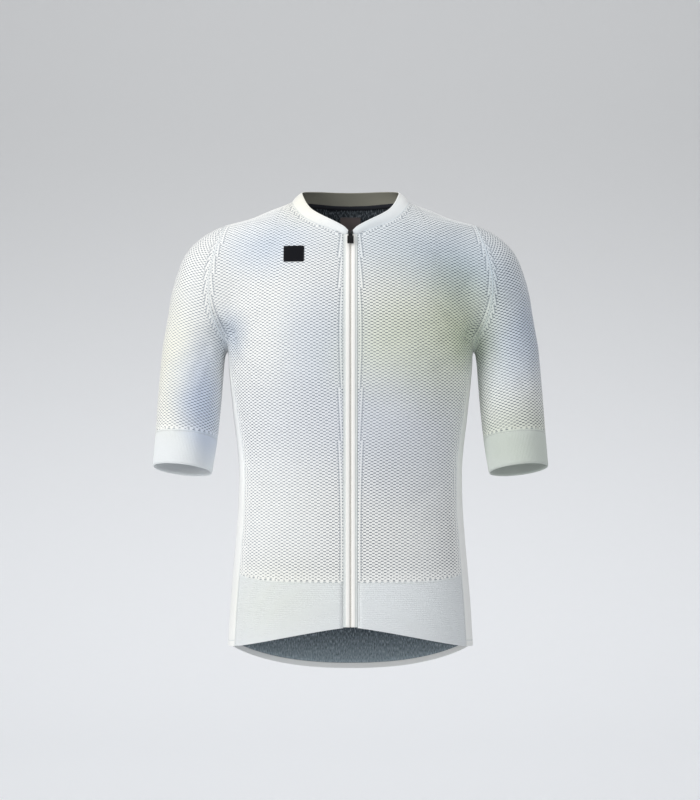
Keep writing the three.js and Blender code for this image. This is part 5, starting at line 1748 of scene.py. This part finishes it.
def add_slider_and_pull():
    seat = level_at(0, SLIDER_TOP - SLIDER_SIZE[2] / 2, -1)
    outward = unit(gradient(seat))[0]
    uphill = unit(np.array([0, 0, 1]) - outward * outward[2])
    axes = np.array([np.cross(outward, uphill), outward, uphill])
    origin = seat[0] + outward * SLIDER_LIFT
    wide, thick, tall = SLIDER_SIZE
    pin = np.array([0, thick + PIN["out"], tall / 2 - PIN["down"]])

    def place(parts, shape, at, number=0):
        points, groups = shape
        parts.add(origin + (points + at) @ axes, groups, number)

    body = Parts()
    place(body, block((wide, 1.1, tall), 0.5), (0, 0.55, 0))
    place(body, block((wide - 0.5, 1.0, tall - 0.6), 0.45), (0, thick - 0.5, 0))
    place(body, block((1.6, thick, tall * 0.7), 0.4), (0, thick / 2, 0.6))
    for side in (-1, 1):
        place(body, block((0.7, thick - 0.3, tall - 2.2), 0.3), (side * (wide / 2 - 0.45), thick / 2, -0.2))
        ear = side * sum(PIN["ears"]) / 2
        broad = PIN["ears"][1] - PIN["ears"][0]
        place(body, block((broad, PIN["out"] + 0.8, 2 * PIN["ear_radius"]), 0.35),
              (ear, pin[1] - PIN["out"] / 2 - 0.1, pin[2]))
        place(body, rod(PIN["ear_radius"], broad), (ear, pin[1], pin[2]))
    place(body, rod(PIN["radius"], 2 * PIN["ears"][1] + 0.3), pin)
    on_garment(body.make("zip_slider_detail", [METAL]), ["zip_slider"])
    pull = Parts()
    wide, thick, tall = PULL_SIZE
    middle = pin - (0, 0, PULL_NECK + tall / 2)
    place(pull, block((wide, thick, tall), 0.75), middle)
    for side in (-1, 1):
        place(pull, block((0.9, 0.7, tall - 2.2), 0.3), middle + (side * (wide / 2 - 0.95), thick / 2, 0))
    for i in range(GRIPS):
        place(pull, block((wide - 3.4, 0.55, 0.75), 0.25), middle + (0, thick / 2, -tall / 2 + 1.7 + 1.55 * i))
    place(pull, block((2.7, thick, PULL_NECK + 1.2), 0.4), pin - (0, 0, PULL_NECK / 2 + 0.9))
    for side in (-1, 1):
        place(pull, block((0.55, thick, 2.6), 0.25), pin + (side * 1.05, 0, -0.6))
    place(pull, rod(KNUCKLE_RADIUS, 2.7), pin)
    on_garment(pull.make("zip_pull_detail", [RUBBER]), ["zip_pull"], "pull")


# Chest patch and neck label: middle, width, height and corner radius
PATCH = {"x": -80, "z": -73.5, "width": 29, "height": 23, "corner": 1.8}
LABEL_SIZE = {"x": 0, "z": -20, "width": 30, "height": 22, "corner": 0.6}


def badge_grid(size, face, cells=1.0):
    """Points of a small rectangle with rounded corners on the chest or the back."""
    w, h, r = size["width"] / 2, size["height"] / 2, size["corner"]
    x, z = [np.concatenate([[-a, -a + r * 0.15, -a + r * 0.5], np.linspace(-a + r, a - r, int(2 * a / cells)),
                            [a - r * 0.5, a - r * 0.15, a]]) for a in (w, h)]
    flat = np.stack(np.meshgrid(x, z), 2)
    core = np.clip(flat, (r - w, r - h), (w - r, h - r))
    off = flat - core
    far = np.linalg.norm(off, axis=2, keepdims=True)
    flat = np.where(far > r, core + off * r / np.maximum(far, 1e-9), flat)
    points, outward = folded(level_at(size["x"] + flat[..., 0].ravel(), size["z"] + flat[..., 1].ravel(), face))
    return points.reshape(*flat.shape[:2], 3), outward.reshape(*flat.shape[:2], 3), flat


SIDE_POINTS = 24


def rounded_line(size, inward, face, lift):
    """A line inside a badge's edge, with the ways out."""
    w, h = size["width"] / 2 - inward, size["height"] / 2 - inward
    corners = np.array([(-w, -h), (w, -h), (w, h), (-w, h), (-w, -h)])
    flat = np.concatenate([mix(corners[i], corners[i + 1], fractions(SIDE_POINTS)[:-1, None]) for i in range(4)])
    points, outward = folded(level_at(size["x"] + flat[:, 0], size["z"] + flat[:, 1], face))
    return points + outward * lift, outward


def add_badges():
    points, outward, flat = badge_grid(PATCH, -1)
    u, v = lengths(points)
    room = np.minimum(np.minimum(u, u[:, -1:] - u), np.minimum(v, v[-1:] - v))
    top = LAYER_GAP + 0.35 + 0.65 * np.sqrt(1 - (1 - np.clip(room / 0.8, 0, 1)) ** 2)
    top = top - 0.12 * np.exp(-(((room - 1.7) / 0.5) ** 2))
    piece = shell("chest_patch_cloth", points, outward, [COATED, COATED], top, LAYER_GAP, np.stack([u, v], 2))
    on_garment(piece, ["chest_patch"])
    width, height = PATCH["width"] * MM, PATCH["height"] * MM
    CLOTHS["chest_patch_cloth"] = (piece, width, height, width * height * 0.99)
    parts = Parts()
    stitches(parts, rounded_line(PATCH, 1.7, -1, LAYER_GAP + 0.9), 0, 0, True, 0, 2.2, 1.5, 0.4)
    on_garment(parts.make("patch_stitches", [PATCH_THREAD]))
    points, outward, flat = badge_grid(LABEL_SIZE, 1)
    u, v = lengths(points)
    room = np.minimum(v, v[-1:] - v)
    under = -3.0 + 0.2 * np.clip(room / 0.6, 0, 1) - 0.25 * (room < 2.2) - 0.05 * np.sin(u * 2.4) * np.sin(v * 0.7)
    piece = shell("neck_label_cloth", points, outward, [LABEL, LABEL], -2.0, under, np.stack([u, v], 2))
    on_garment(piece, ["neck_label"])
    width, height = LABEL_SIZE["width"] * MM, LABEL_SIZE["height"] * MM
    CLOTHS["neck_label_cloth"] = (piece, width * 1.02, height * 1.02, width * height)
    parts = Parts()
    line, out = rounded_line(LABEL_SIZE, 1.2, 1, -3.15)
    top = slice(2 * SIDE_POINTS + 1, 3 * SIDE_POINTS - 1)
    stitches(parts, (line[top], -out[top]), 0, 0, False, 0, 2.2, 1.5, 0.4)
    on_garment(parts.make("label_stitches", [PATCH_THREAD]))


# What each cloth is sewn to or lies on
SEWN_TO = {
    "front_{}_knit": ("collar_cloth", "back_knit", "zip_{}_tape"),
    "sleeve_{}_knit": ("front_{}_knit", "back_knit", "side_{}_cloth"),
    "side_{}_cloth": ("front_{}_knit", "back_knit", "sleeve_{}_knit"),
    "cuff_{}_cloth": ("sleeve_{}_knit",),
    "band_{}_cloth": ("front_{}_knit", "side_{}_cloth"),
    "back_knit": ("collar_cloth", "front_right_knit", "front_left_knit"),
    "rear_pockets_knit": ("back_knit",),
    "collar_cloth": ("back_knit", "front_right_knit", "front_left_knit"),
    "chest_patch_cloth": ("front_right_knit",),
    "neck_label_cloth": ("back_knit",),
}


def declare_cloths():
    """Each cloth's flat width, length and area, the narrow hem and the zip's tapes counted with what they edge;
    nothing is done with them.
    """
    for pattern, holders in SEWN_TO.items():
        for side in SIDES if "{}" in pattern else [""]:
            name = pattern.format(side)
            piece, width, length, area = CLOTHS[name]
            if name == "back_knit":
                _, _, turned_up, hem_area = CLOTHS["hem_back_cloth"]
                area, length = area + hem_area, length + turned_up
            if name.startswith("front"):
                _, beside, _, tape_area = CLOTHS[f"zip_{side}_tape"]
                area, width = area + tape_area, width + beside


add_fronts_and_sleeves()
add_back()
add_seams()
add_collar()
add_zip()
add_slider_and_pull()
add_badges()
declare_cloths()

# Stage, light and camera
def add_stage():
    radius, floor, near, wide, high = 2.4, -1.35, -6.0, 7.0, 5.0
    turn = np.linspace(0, math.pi / 2, 17)
    bend = 3.6
    y = np.concatenate([[near], bend + radius * np.sin(turn), [bend + radius]])
    z = np.concatenate([[floor], floor + radius * (1 - np.cos(turn)), [high]])
    points = np.array([[x, a, b] for a, b in zip(y, z) for x in (-wide, wide)]) / MM
    i = 2 * np.arange(len(y) - 1)
    faces = np.stack([i, i + 1, i + 3, i + 2], 1)
    nodes = Nodes("studio_paper", Roughness=0.95, Specular_IOR_Level=0.1)
    place = nodes.add("TexCoord").outputs["Object"]
    parts = nodes.add("SeparateXYZ", Vector=place)
    # Painted shade on the backdrop: greyer higher up, lighter towards the floor
    high = nodes.add("MapRange", {"interpolation_type": "SMOOTHSTEP"}, Value=parts.outputs[2],
                     From_Min=-1.4, From_Max=1.0)
    paper_painted_shade = nodes.blend(high.outputs[0], srgb(243, 245, 248), srgb(202, 203, 204))
    nodes.join(fleck(nodes, place, paper_painted_shade, 0.01, 40.0), "Base Color")
    cyc = make_mesh("studio_floor", points, [(faces, 0)], [nodes.material])


def area_light(name, at, towards, size, power, colour=(1, 1, 1)):
    light = bpy.data.lights.new(name, "AREA")
    light.shape = "RECTANGLE"
    light.size, light.size_y = size
    light.energy = power
    light.color = colour
    lamp = bpy.data.objects.new(name, light)
    bpy.context.scene.collection.objects.link(lamp)
    lamp.location = at
    lamp.rotation_euler = (Vector(towards) - Vector(at)).to_track_quat("-Z", "Y").to_euler()


def add_light():
    world = bpy.data.worlds.new("studio")
    bpy.context.scene.world = world
    world.use_nodes = True
    world.node_tree.nodes["Background"].inputs["Color"].default_value = srgb(247, 248, 250)
    world.node_tree.nodes["Background"].inputs["Strength"].default_value = 0.45
    area_light("key", (-2.6, -2.2, 0.8), (0, 0, -0.3), (1.4, 2.2), 68, (1, 0.99, 0.97))
    area_light("fill", (2.4, -2.8, 0.0), (0, 0, -0.35), (1.6, 2.2), 14, (0.97, 0.99, 1))
    area_light("top", (0, -0.4, 2.0), (0, 0, -0.3), (2.4, 1.6), 18)
    area_light("backdrop", (0, 2.6, 2.4), (0, 6.2, -1.4), (6, 0.6), 78)


def add_camera():
    distance, height, pixel, picture = 3200, -280, 1.45, 800
    camera = bpy.data.cameras.new("camera")
    camera.sensor_width = 36
    camera.lens = 36 * distance / (pixel * picture)
    view = bpy.data.objects.new("camera", camera)
    bpy.context.scene.collection.objects.link(view)
    view.location = Vector((-0.7, -distance, height)) * MM
    view.rotation_euler = (math.pi / 2, 0, 0)
    bpy.context.scene.camera = view


add_stage()
add_light()
add_camera()
bpy.context.scene.view_settings.view_transform = "Standard"
